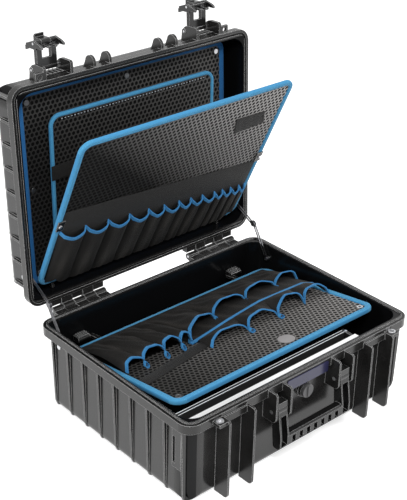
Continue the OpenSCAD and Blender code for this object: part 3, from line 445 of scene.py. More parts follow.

# %% [markdown]
# ## The perforated sheets
# The glossy sheets on the boards pale towards one corner: a painted sheen, as a wide
# light from that side would give, strongest on the front lid board. The painted sheen grows
# along a slope through the case. It is part of the finish, so it stays when the lamps move.

# %% Sheet finishes
def net_plastic(name, slope, start, dark, pale):
    """The perforated sheet's plastic, with a painted sheen that pales it towards one corner."""
    material = moulded(name, dark, pale, grain=700.0, depth=0.00006, rough=0.42, edge=0.0003,
                       specular=0.14)
    tree, shader = parts_of(material)
    # Painted sheen: the colour goes from the dark tone to the pale one along the slope.
    sheen_along_slope = compute(tree, "DOT_PRODUCT", coordinates(tree, "Object"), slope, vector=True)
    share = compute(tree, "ADD", sheen_along_slope.outputs["Value"], start)
    share.use_clamp = True
    tree.links.new(ramp(tree, share.outputs[0], dark, pale), shader.inputs["Base Color"])
    return material


# Each board's sheet has its own painted sheen: the front lid board's is the palest, and the middle
# and fixed boards share a darker one.
lid_net_finish = net_plastic("lid_net", (1.8, 0, 2.4), -0.80, (0.016, 0.0156, 0.0152),
                             (0.50, 0.485, 0.475))
dark_net_finish = net_plastic("dark_net", (0.6, 0, 1.2), -0.36, (0.022, 0.0215, 0.021),
                              (0.19, 0.185, 0.18))
base_net_finish = net_plastic("base_net", (1.7, 0.8, 0), 0.38, (0.04, 0.039, 0.037),
                              (0.30, 0.29, 0.28))
print("plastics with the shells and sheets:", len(bpy.data.materials))

# %% [markdown]
# ## Metal
# The pins, rivets, stays and rails are metal with fine lines along their length: a noise
# that is stretched along X moves the colour, the roughness and the bump together. The
# rails' upward faces keep a pale colour, a painted reflection, and their webs get a dark
# one, a painted shade.

# %% Metals
BRUSH = (18, 900, 900)
TOP_FACING = 0.8


def brushed(name, dark, light, rough, metal=1.0):
    """Metal with fine lines along one direction."""
    material, tree, shader = new_finish(name)
    lines = add_node(tree, "ShaderNodeTexNoise", [(stretched(tree, "Object", BRUSH), "Vector")],
                     Scale=1.0, Detail=4.0).outputs[0]
    vary(tree, shader, lines, dark, light, rough - 0.08, rough + 0.1)
    round_and_grain(tree, shader, lines, 0.0004, 0.15, 0.00008)
    shader.inputs["Metallic"].default_value = metal
    return material


def drawn_metal(name):
    """Aluminium whose top faces keep a pale painted reflection and whose other faces get a painted
    shade.
    """
    material = brushed(name, grey(0.86), grey(0.97), 0.3, metal=0.5)
    tree, shader = parts_of(material)
    side = add_node(tree, "ShaderNodeSeparateXYZ", [(coordinates(tree, "Normal"), 0)])
    top = compute(tree, "GREATER_THAN", side.outputs[2], TOP_FACING)
    # Painted shade: faces that don't look upwards are dark grey, and upward faces keep the pale
    # colour as a painted reflection.
    mix_colour(tree, shader, top.outputs[0], grey(0.05), own=COLOUR_B)
    return material


steel_finish = brushed("bright_steel", (0.50, 0.50, 0.52), (0.72, 0.73, 0.75), 0.3)
stay_finish = brushed("dark_stay", (0.09, 0.09, 0.095), (0.18, 0.18, 0.19), 0.3)
rail_finish = drawn_metal("drawn_aluminium")
print("hard finishes:", len(bpy.data.materials))

# %% [markdown]
# ## Woven cloth and tape
# Tape, webbing and pocket cloth are plain weaves. Two crossed waves make the threads,
# on a UV map laid flat on each piece, so that the threads run with it. The pocket cloth
# has painted light and shade: it is paler on the lit crest of each fold and near black
# between, by an attribute that each piece carries.

# %% Woven finishes
def woven(name, thread, shade, pitch, rough, fuzz, tint=(1, 1, 1)):
    """Plain weave: two crossed waves raise the threads, and the gaps between are darker."""
    material, tree, shader = new_finish(name)
    flat = stretched(tree, "UV")
    waves = []
    for direction in ("X", "Y"):
        wave = add_node(tree, "ShaderNodeTexWave", [(flat, "Vector")], Scale=0.5 / pitch,
                        Distortion=0.6, Detail=1.0)
        wave.bands_direction = direction
        waves.append(wave.outputs["Fac"])
    cross = compute(tree, "MULTIPLY", *waves).outputs[0]
    cloud = add_node(tree, "ShaderNodeTexNoise", [(flat, "Vector")], Scale=35.0, Detail=6.0)
    both = compute(tree, "MULTIPLY_ADD", cross, cloud.outputs[0])
    both.inputs[2].default_value = 0.25
    tree.links.new(ramp(tree, both.outputs[0], shade, thread, 0.15, 0.75),
                   shader.inputs["Base Color"])
    bump = add_node(tree, "ShaderNodeBump", [(cross, "Height")], Strength=0.5,
                    Distance=0.00025)
    tree.links.new(bump.outputs[0], shader.inputs["Normal"])
    for socket, value in (("Roughness", rough), ("Sheen Weight", fuzz), ("Sheen Roughness", 0.4),
                          ("Sheen Tint", (*tint, 1)), ("Specular IOR Level", 0.2)):
        shader.inputs[socket].default_value = value
    return material


BLUE_SHEEN = (0.6, 0.85, 1.0)
TAPE_THREAD = 0.0011
tape_finish = woven("blue_tape", (0.112, 0.43, 0.645), (0.030, 0.185, 0.40), TAPE_THREAD, 0.7,
                    0.2, BLUE_SHEEN)
# A darker copy of the blue tape, a painted shade, for the fixed board deep in the lid.
shaded_tape_finish = woven("blue_tape_shaded", (0.034, 0.19, 0.45), (0.013, 0.09, 0.26), TAPE_THREAD,
                        0.75, 0.08, BLUE_SHEEN)
pocket_tape_finish = woven("blue_tape_pocket", (0.074, 0.325, 0.59), (0.022, 0.14, 0.36),
                           TAPE_THREAD, 0.7, 0.15, BLUE_SHEEN)
webbing_finish = woven("black_webbing", (0.017, 0.016, 0.015), (0.005, 0.005, 0.005), 0.0016,
                       0.7, 0.08)
thread_finish = woven("pale_thread", (0.62, 0.66, 0.70), (0.40, 0.44, 0.50), 0.0006, 0.8, 0.1)


def folded(name):
    """Cloth with painted light and shade: paler on the lit crest of each fold, by the piece's own
    fold attribute.
    """
    material = woven(name, (0.062, 0.057, 0.052), (0.018, 0.0165, 0.015), 0.0008, 0.7, 0.02)
    tree, shader = parts_of(material)
    crest = add_node(tree, "ShaderNodeAttribute", attribute_name="fold")
    # Painted shade: where the fold attribute is 0 the cloth is near black, and where it is 1 it
    # keeps its own colour.
    mix_colour(tree, shader, crest.outputs["Fac"], (0.0035, 0.0033, 0.003), own=COLOUR_B)
    return material


fold_light_finish = folded("black_cloth_painted_fold_light")
print("all finishes:", len(bpy.data.materials))

# %% [markdown]
# ## Seating a piece
# A piece that is made flat in a board's coordinates gets its UV map there, and a pocket
# cloth also its fold values, the painted light on its folds; it is carried to the case,
# and then gets its finish and its body.

# %% Seat
FOLD_SHIFT = 0.7
# Angles in degrees up to which soft and hard pieces are shaded smooth.
SOFT, HARD = 60, 40


def paint_fold_light(obj, crest):
    """Writes how far each point of a flat-laid piece lies on a lit crest: the painted light on its
    folds.
    """
    fold = obj.data.attributes.new("fold", "FLOAT", "POINT")
    for i, point in enumerate(obj.data.vertices):
        fold.data[i].value = crest(point.co)


def lay_uv(obj):
    """Writes a UV map in metres from the piece's flat coordinates."""
    layer = obj.data.uv_layers.get("cloth") or obj.data.uv_layers.new(name="cloth")
    obj.data.uv_layers.active = layer
    for loop in obj.data.loops:
        point = obj.data.vertices[loop.vertex_index].co
        layer.data[loop.index].uv = (point.x, point.y + FOLD_SHIFT * point.z)


def seat(obj, board, finish, angle):
    """Takes a piece from a board's coordinates to the case, gives its finish and its body."""
    hold(obj)
    lay_uv(obj)
    obj.matrix_world = BOARDS[board] @ obj.matrix_world
    settle()
    wear(obj, finish, angle, BODY[board])
    return obj


print("boards to seat on:", sorted(BODY))

# %% [markdown]
# ## Finishes on the CAD nodes
# The hard nodes keep their meshes, so dressing them is one line each: the finish becomes
# the node's only material.

# %% Dress the hard nodes
def dress(finish, *names):
    """Gives CAD nodes one finish."""
    for name in names:
        paint(nodes[name], finish)


def pairs(*names):
    """The left and the right node of each name."""
    return [name + side for name in names for side in ("_left", "_right")]


dress(base_finish, "base_shell")
dress(lid_finish, "lid_shell")
dress(trim_finish, "handle", "board_clips", "lid_board_brackets", "lid_board_front_pivots",
      "lid_board_middle_pivots", "base_board_pivots", "valve_body", "lid_board_front_clips",
      *pairs("latch_link", "latch_lever", "rail_end"))
dress(board_finish, *NODE.values())
dress(rubber_finish, "lid_gasket", "valve_seal")
dress(plate_finish, "name_plate")
dress(knob_finish, "valve_knob")
dress(disc_finish, "base_board_disc")
dress(steel_finish, "padlock_eyelets", "handle_pins", "stay_rivets_base", "stay_rivets_lid",
      "channel_screw", "latch_ear_pins", "lid_board_rivets", "base_board_eyelets",
      *pairs("hinge_pin", "latch_lever_pin"))
dress(stay_finish, *pairs("stay_lower", "stay_knee", "stay_upper"))
dress(rail_finish, "front_rail", "divider_channel")
print("dressed:", sum(1 for node in nodes.values() if node.data.materials))

# %% [markdown]
# ## Blue bindings
# Each board's edge is bound in a folded woven tape, seven to eleven millimetres wide on
# each face. A plane of the board's outer size has its corner points bevelled to the
# corner radius, is inset by the tape's width, loses its middle face and gets a
# thickness. A last bevel rolls the edges as a folded tape rolls.

# %% Bindings
TAPE_W = {"base": 11 * MM, "front": 9.5 * MM, "middle": 7 * MM, "fixed": 11 * MM}
# How much thicker each tape is than the CAD binding it stands for.
FULLER = {"base": 2 * MM, "front": 1 * MM, "middle": 0, "fixed": 0}
CORNER, TAPE_ROLL = 21 * MM, 2.8 * MM
SHARP = math.radians(50)


def make_binding(board):
    """A board's ring of tape, in place of its CAD binding."""
    low, high = span(NODE[board] + "_binding", BOARDS[board])
    clear_hand()
    bpy.ops.mesh.primitive_plane_add(size=1, location=(low + high) / 2)
    ring = named(NODE[board] + "_tape")
    ring.scale = (high.x - low.x, high.y - low.y, 1)
    settle()
    pick_all(ring, "VERT")
    bpy.ops.mesh.bevel(offset=CORNER, segments=10, affect="VERTICES")
    bpy.ops.mesh.select_all(action="SELECT")
    bpy.ops.mesh.inset(thickness=TAPE_W[board])
    bpy.ops.mesh.delete(type="FACE")
    put_down()
    apply(ring, "SOLIDIFY", thickness=high.z - low.z + FULLER[board], offset=0)
    apply(ring, "BEVEL", width=TAPE_ROLL, segments=4, limit_method="ANGLE", angle_limit=SHARP)
    # The fixed board's tape takes the darker copy, a painted shade.
    seat(ring, board, shaded_tape_finish if board == "fixed" else tape_finish, SOFT)
    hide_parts(NODE[board] + "_binding")
    return ring


bindings = {board: make_binding(board) for board in BOARDS}
print("bindings:", {name: len(ring.data.polygons) for name, ring in bindings.items()})

# %% [markdown]
# ## Perforated skins
# The boards are faced with a plastic sheet full of staggered holes. One six-sided cell
# is modelled, a ring with a wall that goes down into its hole, and arrays repeat it in
# staggered rows. Real holes give real shadows, where a painted pattern would look flat
# from close by, and twelve small faces a cell keep the whole board light in memory.

# %% Skins
PITCH, SKIN = 9.0 * MM, 0.7 * MM
WEB_SHARE, MERGE = 0.235, 0.02 * MM
SKIN_MARGIN = 2 * MM
FRONT_SKIN_FROM, BASE_SKIN_TO = 62 * MM, -150 * MM


def make_skin(name, board, finish, x0, x1, y0, y1):
    """A perforated sheet over a rectangle of a board's face."""
    radius = PITCH / math.sqrt(3)
    columns = math.ceil((x1 - x0) / PITCH) + 1
    rows = math.ceil((y1 - y0) / (3 * radius)) + 1
    clear_hand()
    bpy.ops.mesh.primitive_circle_add(vertices=6, radius=radius, fill_type="NGON",
                                      location=(x0, y0, SKIN))
    net = named(name)
    settle()
    pick_all(net, "FACE")
    bpy.ops.mesh.inset(thickness=radius * WEB_SHARE)
    bpy.ops.mesh.extrude_region_move(TRANSFORM_OT_translate={"value": (0, 0, -SKIN)})
    bpy.ops.mesh.delete(type="FACE")
    put_down()
    for count, step in ((2, (PITCH / 2, 1.5 * radius, 0)), (columns, (PITCH, 0, 0)),
                        (rows, (0, 3 * radius, 0))):
        repeat(net, count, step, use_merge_vertices=True, merge_threshold=MERGE)
    for place, normal in (((x0, 0, 0), (-1, 0, 0)), ((x1, 0, 0), (1, 0, 0)),
                          ((0, y0, 0), (0, -1, 0)), ((0, y1, 0), (0, 1, 0))):
        pick_all(net, "FACE")
        bpy.ops.mesh.bisect(plane_co=place, plane_no=normal, clear_outer=True)
        put_down()
    return seat(net, board, finish, 30)


skins = []
for board, finish, near, far in (("front", lid_net_finish, FRONT_SKIN_FROM, None),
                                 ("middle", dark_net_finish, None, None),
                                 ("fixed", dark_net_finish, None, None),
                                 ("base", base_net_finish, None, BASE_SKIN_TO)):
    low, high = span(NODE[board], BOARDS[board])
    skins.append(make_skin(NODE[board] + "_skin", board, finish, low.x + SKIN_MARGIN,
                           high.x - SKIN_MARGIN, near or low.y + SKIN_MARGIN,
                           far or high.y - SKIN_MARGIN))
print("skins:", [len(net.data.polygons) for net in skins])

# %% [markdown]
# ## Sewn cloth
# A pocket row is one strip of cloth, sewn down at each seam and pushed up between them,
# with its mouth edge bound in tape. A grid is laid over the row, and each of its points
# is lifted by a rule: little at a seam, most in the middle of a pocket and at its mouth.
# The tape is the same rule on a narrower strip, so it follows the mouth. The rules work
# in millimetres on the board, and the cloth's folds are waves that fade at its edges.

# %% Cloth helpers
CLOTH, MOUTH_TAPE, ROW_TAPE = 1.0 * MM, 2.4 * MM, 2.2 * MM


def shaped_grid(name, columns, rows, rule):
    """A grid whose points, given as shares of its two sides, go where a rule says."""
    clear_hand()
    bpy.ops.mesh.primitive_grid_add(x_subdivisions=columns, y_subdivisions=rows, size=1)
    sheet = named(name)
    for point in sheet.data.vertices:
        point.co = rule(point.co.x + 0.5, point.co.y + 0.5)
    return sheet


def along(stops, x):
    """Value at x of a line through (x, value) stops."""
    for (x0, a), (x1, b) in zip(stops, stops[1:]):
        if x <= x1:
            return a + (b - a) * max(0.0, (x - x0)) / (x1 - x0)
    return stops[-1][1]


def in_pocket(seams, x):
    """Number of the pocket that x lies in, and the share of its width."""
    for i in range(len(seams) - 1):
        if x <= seams[i + 1] or i == len(seams) - 2:
            share = (x - seams[i]) / (seams[i + 1] - seams[i])
            return i, min(1.0, max(0.0, share))


def column_over(seams):
    """Spreads a grid's columns evenly over the pockets, whatever their widths."""
    count = len(seams) - 1

    def column(share):
        i = min(count - 1, int(share * count))
        return seams[i] + (seams[i + 1] - seams[i]) * (share * count - i)
    return column


def arch(share, power=0.6):
    """0 at both seams of a pocket and 1 in its middle."""
    return max(0.0, math.sin(math.pi * share)) ** power


def slouch(number, share):
    """An uneven mouth: it rises fast on one side, sags in the middle and falls slowly."""
    push = (0.68, 0.9, 0.74, 1.12, 0.8)[number % 5]
    lean = arch(share ** push, 0.42)
    return lean * (1 - 0.10 * math.sin(2 * math.pi * share + 1.3 * number) ** 2)


print("an arch:", [round(arch(share / 4), 2) for share in range(5)])

# %% [markdown]
# ## The lid's pocket row
# Thirteen narrow pockets for hand tools run across the front lid board. They get
# narrower and shallower to the right, and the mouth line slopes down with them.

# %% Pocket row of the front lid board
LID_SEAMS = [-218, -164, -115, -67, -23, 14, 50, 79, 108, 139, 160, 182, 204, 219]
LID_MOUTH = [(-218, 113), (-164, 106), (219, 58)]
LID_FOOT = [(-219, -14), (-196, -14), (-186, -26), (192, -26), (202, -14), (219, -14)]
LID_TAPE, LID_OVER = 6.5, 0.01
LID_COLUMNS, LID_ROWS, TAPE_ROWS = 10, 18, 3
PEAK, SAG, SKEW = 3, 9, 2.5
DEEPEST, DEPTH, DEPTH_BY_WIDTH = 12.0, 4.5, 0.2
LID_LIFT, LID_SLOPE, CREASE = 3.4, 2.0, 0.7
lid_column = column_over(LID_SEAMS)


def lid_reach(x):
    """Length of the row's cloth at x, from its foot to its mouth."""
    return along(LID_MOUTH, x) - along(LID_FOOT, x)


def lid_pocket(x, rise):
    """Point of the pocket row at x, with rise 0 at its foot and 1 at its mouth."""
    number, share = in_pocket(LID_SEAMS, x)
    width = LID_SEAMS[number + 1] - LID_SEAMS[number]
    full = min(DEEPEST, DEPTH + width * DEPTH_BY_WIDTH)
    bay = 1 - abs(2 * share - 1) ** 4
    swell = bay ** 0.7
    mouth = along(LID_MOUTH, x) + PEAK - SAG * bay + SKEW * math.sin(3 * math.pi * share) * bay
    foot = along(LID_FOOT, x)
    y = foot + (mouth - foot) * rise
    crease = CREASE * math.sin(x * 0.45 + rise * 5 + number) * max(0.0, 1 - rise) * swell
    z = LID_LIFT - LID_SLOPE * rise + full * swell * (0.2 + 0.8 * rise ** 0.8) + crease
    return Vector((x, y, z)) * MM


def lid_fold_light(point):
    """How far a point of the pocket row lies on the lit side of its pocket, for its painted light.
    """
    number, share = in_pocket(LID_SEAMS, point.x / MM)
    across = math.exp(-((share - 0.36) / 0.19) ** 2)
    return min(1.0, across * (0.65 + 0.35 * math.sin(point.y / MM * 0.05 + number)))


def make_lid_pockets():
    columns = LID_COLUMNS * (len(LID_SEAMS) - 1)
    cloth = shaped_grid("lid_pocket_cloth", columns, LID_ROWS,
                        lambda s, t: lid_pocket(lid_column(s), t))
    apply(cloth, "SOLIDIFY", thickness=CLOTH, offset=0)
    paint_fold_light(cloth, lid_fold_light)
    seat(cloth, "front", fold_light_finish, SOFT)
    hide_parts("lid_board_front_pockets")
    tape = shaped_grid("lid_pocket_tape", columns, TAPE_ROWS,
                       lambda s, t: lid_pocket(lid_column(s), 1 + LID_OVER - (1 - t) * LID_TAPE
                                               / lid_reach(lid_column(s))))
    apply(tape, "SOLIDIFY", thickness=MOUTH_TAPE, offset=0)
    seat(tape, "front", pocket_tape_finish, SOFT)
    return cloth, tape


lid_cloth, lid_tape = make_lid_pockets()
print("lid pockets:", len(lid_cloth.data.polygons))

# %% [markdown]
# ## The base board's rear rows
# Four small and four large pockets lie side by side, all sewn down along the board's
# rear. Their mouths stand open towards the front at uneven heights, because they hang
# from the seams between them and nothing fills them.

# %% Rules of the rear rows
SMALL, SMALL_H = [-217, -182, -138, -102, -79], [20, 26, 28, 25]
LARGE, LARGE_H = [-79, 1, 81, 157, 216], [34, 37, 37, 33]
REAR_FOOT, SMALL_MOUTH, LARGE_SAG = -39, -176, 6
LARGE_MOUTH = [(-79, -172), (1, -141), (81, -138), (157, -136), (216, -134)]
LARGE_SEAM_H = [(-79, 2), (1, 14), (157, 17), (216, 9)]
LIFT, LIFT_FROM, LIFT_TO, LIFT_EASE = 11, -217, -60, 35
LAID, LOWEST = 4.2, 1.0


def belly(rise):
    """0 at a strip's foot and mouth and 1 halfway."""
    return max(0.0, math.sin(math.pi * rise))


def small_pocket(x, rise):
    """Point of the small row at x, with rise 0 at its foot and 1 at its mouth."""
    number, share = in_pocket(SMALL, x)
    mouth = SMALL_MOUTH + 5 * arch(share)
    y = REAR_FOOT + (mouth - REAR_FOOT) * rise
    low = LIFT * min(1, (x - LIFT_FROM) / LIFT_EASE, (LIFT_TO - x) / LIFT_EASE)
    top = low + (SMALL_H[number] - low) * slouch(number, share)
    fan = math.sin(0.16 * x + 2.4 * math.sin(5 * rise) + 5 * rise)
    fold = (2.2 * fan + 1.2 * math.sin(0.31 * x - 9 * rise)) * belly(rise)
    z = LAID + top * rise ** 1.4 + 5 * belly(rise) + fold
    return Vector((x, y, max(LOWEST, z))) * MM


def large_pocket(x, rise):
    number, share = in_pocket(LARGE, x)
    seam_z = along(LARGE_SEAM_H, x)
    mouth = along(LARGE_MOUTH, x) + LARGE_SAG * arch(share)
    y = REAR_FOOT + (mouth - REAR_FOOT) * rise
    top = seam_z + (LARGE_H[number] - seam_z) * slouch(number, share)
    fold = (2.0 * math.sin(x * 0.09 + rise * 6) + 1.0 * math.sin(0.2 * x - 8 * rise)) * belly(rise)
    z = LAID + (top - LAID) * rise ** 1.25 + fold
    return Vector((x, y, max(LOWEST, z))) * MM


print("a small mouth's middle:", [round(v / MM, 1) for v in small_pocket(-160, 1)])

# %% [markdown]
# ## The base board's front rows
# A plain panel covers the board between the rows and rises to a low ridge. The four
# front pockets start from that ridge and end at the board's front edge.

# %% Rules of the panel and the front row
PANEL = [-79, -40, 10, 85, 150, 217]
PANEL_REAR, PANEL_LENGTH = -95, 80
FRONT, FRONT_H = [-66, 18, 89, 155, 217], [20, 24, 31, 26]
FRONT_FOOT, FRONT_MOUTH = -175, -213
RIDGE = [(-79, 1), (-40, 6), (10, 14), (85, 22), (190, 19), (217, 10)]
FRONT_LAID = 1.5


def middle_panel(x, rise):
    y = PANEL_REAR - PANEL_LENGTH * rise
    wave = 1.0 * math.sin(x * 0.07 + rise * 4) * (1 - rise)
    z = FRONT_LAID + along(RIDGE, x) * (0.55 + 0.45 * rise) + wave
    return Vector((x, y, z)) * MM


def front_pocket(x, rise):
    number, share = in_pocket(FRONT, x)
    mouth = FRONT_MOUTH + 9 * arch(share)
    y = FRONT_FOOT + (mouth - FRONT_FOOT) * rise
    top = 0.8 + FRONT_H[number] * slouch(number + 1, share)
    z = FRONT_LAID + along(RIDGE, x) * max(0.0, 1 - rise) ** 1.2 + top * rise ** 0.8
    return Vector((x, y, z)) * MM


print("ridge at the middle:", along(RIDGE, 0))

# %% [markdown]
# ## Sewing the rows
# Each rule gives one strip of cloth and, along its mouth, one strip of tape. The cloth
# gets painted light along slanting crests and painted shade between them, which stand
# for the folds too fine for the grid.

# %% Sew the base rows
# Painted light of the base rows' cloth: its level between the crests, and how much more it gets on
# them.
FOLD_LIGHT_FLOOR, FOLD_LIGHT_RISE = 0.16, 0.5
ROW_COLUMNS, TAPE_OVER = 14, 0.006


def row_fold_light(point):
    """How far a point of a base row lies on one of its wavy, slanting crests: its painted light.
    """
    x, y = point.x / MM, point.y / MM
    wave = math.sin(0.16 * x + 0.06 * y + 2.4 * math.sin(0.03 * y))
    return FOLD_LIGHT_FLOOR + FOLD_LIGHT_RISE * max(0.0, wave) ** 3


def sewn_row(name, seams, rule, rows, tape_share, *replaced):
    """A strip of cloth, and a strip of tape on the last tape_share of it."""
    column = column_over(seams)
    columns = ROW_COLUMNS * (len(seams) - 1)
    cloth = shaped_grid(name + "_cloth", columns, rows, lambda s, t: rule(column(s), t))
    apply(cloth, "SOLIDIFY", thickness=CLOTH, offset=0)
    paint_fold_light(cloth, row_fold_light)
    seat(cloth, "base", fold_light_finish, SOFT)
    if replaced:
        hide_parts(*replaced)
    tape = shaped_grid(name + "_tape", columns, TAPE_ROWS, lambda s, t: rule(
        column(s), 1 - tape_share + (tape_share + TAPE_OVER) * t))
    apply(tape, "SOLIDIFY", thickness=ROW_TAPE, offset=0)
    seat(tape, "base", pocket_tape_finish, SOFT)
    return cloth, tape


base_rows = [
    sewn_row("small_pockets", SMALL, small_pocket, 40, 0.04, "base_pockets_rear"),
    sewn_row("large_pockets", LARGE, large_pocket, 36, 0.045),
    sewn_row("middle_panel", PANEL, middle_panel, 16, 0.075),
    sewn_row("front_pockets", FRONT, front_pocket, 20, 0.14, "base_pockets_front"),
]
print("base cloth:", [cloth.name for cloth, tape in base_rows])

# %% [markdown]
# ## Loops of tape
# Where two pockets meet, the mouth tape is folded over in a small drop-shaped loop. Each
# is a strip bent round by a rule, and its place comes from the seam it hangs on.

# %% Loops of tape between the pockets
LOOP_LENGTH, LOOP_FOOT, LOOP_THICK = 6, 1.6, 1.1 * MM
# Each loop's seam, its place along the board, its top and its width.
LOOPS = ((SMALL[1], -178, 13, 9), (SMALL[2], -178, 14, 9), (SMALL[3], -178, 14, 8),
         (LARGE[1], -146, 17, 11), (LARGE[2], -144, 20, 11), (LARGE[3], -142, 19, 10),
         (FRONT[1], -217, 9, 12), (FRONT[2], -216, 9, 12))


def make_loop(name, x, y, top, wide):
    """The tape's drop-shaped fold where two pockets meet, hanging from a joint."""
    def rule(s, t):
        turn = 2 * math.pi * s
        drop = 0.5 - 0.5 * math.cos(turn)
        return Vector((x + 0.5 * wide * math.sin(turn) * drop ** 0.5 + 1.5 * drop,
                       y + LOOP_LENGTH / 2 - LOOP_LENGTH * t - 3 * drop,
                       LOOP_FOOT + (top - LOOP_FOOT) * (1 - drop))) * MM
    loop = shaped_grid(name, 24, 2, rule)
    apply(loop, "SOLIDIFY", thickness=LOOP_THICK, offset=0)
    return seat(loop, "base", pocket_tape_finish, SOFT)


loops = [make_loop("pocket_loop_%d" % number, *place) for number, place in enumerate(LOOPS, 1)]
print("loops:", len(loops))

# %% [markdown]
# ## Room under the shut lid
# The pockets stand higher than the room between the base board and the shut lid boards.
# Real cloth is pressed down. Here the base board's cloth, mouth tapes and loops each get
# a mesh of their own.

# %% Give the base cloth its own meshes
base_soft = [piece for row in base_rows for piece in row] + loops
for piece in base_soft:
    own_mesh(piece)
print("flattened pieces:", len(base_soft))

# %% [markdown]
# ## Straps and patch
# Flat webbing is sewn across the boards. Each piece is a grid laid between four corners,
# with a thickness and rolled edges. The middle board's strap also rises at its ends.

# %% Webbing
THIN, THICK, THREAD_ROLL = 1.2 * MM, 1.4 * MM, 0.4 * MM


def make_strap(name, board, corners, thick, replaced, ends=0.0):
    """A flat strap between four corners on the board's face, whose ends can rise."""
    a, b, c, d = (Vector((x, y, 0)) * MM for x, y in corners)
    strap = shaped_grid(name, 40, 2, lambda s, t: (a.lerp(b, s)).lerp(d.lerp(c, s), t) + Vector(
        (0, 0, 0.9 + 0.2 * math.sin(s * 19) + ends * abs(2 * s - 1) ** 8)) * MM)
    apply(strap, "SOLIDIFY", thickness=thick, offset=1)
    apply(strap, "BEVEL", width=THREAD_ROLL, segments=2, limit_method="ANGLE",
          angle_limit=SHARP)
    seat(strap, board, webbing_finish, 50)
    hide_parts(replaced)
    return strap


straps = [
    make_strap("front_band", "front", [(-219, 92), (219, 44), (219, 122), (-219, 163)],
               THIN, "lid_board_front_webbing"),
    make_strap("front_patch", "front", [(123, 224), (192, 229), (182, 259), (114, 261)],
               THICK, "lid_board_front_patch"),
    make_strap("base_webbing", "base", [(-218, -229), (-46, -198), (-56, -177), (-218, -206)],
               THIN, "base_board_webbing"),
    make_strap("middle_webbing", "middle", [(-182, 152), (182, 152), (182, 178), (-182, 178)],
               THICK, "lid_board_middle_strap", ends=2.2),
]
print("straps:", [strap.name for strap in straps])

# %% [markdown]
# ## Small raised details
# Snap studs, stitches, studded grips and ribbed seats are made from two rolled shapes, a
# block and a round stud. Each is modelled once, and arrays or a second call repeat it.

# %% Rolled shapes
def rolled_block(name, middle, size, roll):
    """A block with its edges rolled."""
    clear_hand()
    bpy.ops.mesh.primitive_cube_add(size=1, location=middle)
    block = named(name)
    block.scale = size
    settle()
    apply(block, "BEVEL", width=roll, segments=2)
    return block


def rolled_stud(name, sides, radius, depth, middle, roll, segments):
    """A round stud with its rims rolled."""
    clear_hand()
    bpy.ops.mesh.primitive_cylinder_add(vertices=sides, radius=radius, depth=depth,
                                        location=middle)
    stud = named(name)
    settle()
    apply(stud, "BEVEL", width=roll, segments=segments, limit_method="ANGLE")
    return stud


# %% Snap studs on the front board's clips
def make_snap(name, side):
    """A round metal stud on the clip at one side, -1 or 1."""
    low, high = span("lid_board_front_clips", BOARDS["front"])
    snap = rolled_stud(name, 24, 3.4 * MM, 2.4 * MM,
                       (side * (high.x - 5.5 * MM), (low.y + high.y) / 2, high.z + 0.9 * MM),
                       0.9 * MM, 3)
    return seat(snap, "front", steel_finish, HARD)


snaps = [make_snap("clip_snap_left", -1), make_snap("clip_snap_right", 1)]
print("snaps:", len(snaps))

# %% Stitches under the middle board's tape
STITCH, STITCH_STEP, STITCHES = (2.6 * MM, 1.3 * MM, 1.0 * MM), 6.6 * MM, 48
low, high = span("lid_board_middle", BOARDS["middle"])
stitches = rolled_block("middle_stitches", (low.x + 20 * MM, high.y - 5.5 * MM, 1.1 * MM),
                        STITCH, THREAD_ROLL)
repeat(stitches, STITCHES, (STITCH_STEP, 0, 0))
seat(stitches, "middle", thread_finish, SOFT)
print("stitches:", len(stitches.data.polygons))

# %% Studded grips on the board's clips
GRIP_X, GRIP_Y, GRIP_Z = 180 * MM, 173.5 * MM, 112.6 * MM
PAD = (23 * MM, 15 * MM, 1.8 * MM)
STUD_COLUMNS, STUD_ROWS, STUD_X, STUD_Y = 5, 3, 4.4 * MM, 5 * MM


def make_studs(name, x, y, z):
    """A low pad with five by three round studs, on the block that holds the pivot."""
    pad = rolled_block(name + "_pad", (x, y, z + PAD[2] / 2), PAD, 0.6 * MM)
    first = (x - (STUD_COLUMNS - 1) / 2 * STUD_X, y - (STUD_ROWS - 1) / 2 * STUD_Y, z + 2.6 * MM)
    stud = rolled_stud(name + "_stud", 12, 1.3 * MM, 2.4 * MM, first, 0.5 * MM, 2)
    repeat(stud, STUD_COLUMNS, (STUD_X, 0, 0))
    repeat(stud, STUD_ROWS, (0, STUD_Y, 0))
    return wear(join([pad, stud], name), trim_finish, HARD, "base")


studs = [make_studs("clip_studs_left", -GRIP_X, GRIP_Y, GRIP_Z),
         make_studs("clip_studs_right", GRIP_X, GRIP_Y, GRIP_Z)]
print("studs:", [len(grip.data.polygons) for grip in studs])

# %% Ribbed seats between the latch ears
# Sizes and places on the shut lid.
EAR_X, SEAT_HALF = 161.5 * MM, 24.1 * MM
SEAT_Y, SEAT_Z = (-198.6 * MM, -184.5 * MM), (172 * MM, 194 * MM)
RIDGES, RIDGE_STEP, RIDGE_IN, RIDGE_W, PROUD = 6, 8 * MM, 3 * MM, 2.2 * MM, 1 * MM


def block_between(name, low, high, roll):
    """A rolled block between two corners."""
    low, high = Vector(low), Vector(high)
    return rolled_block(name, (low + high) / 2, high - low, roll)


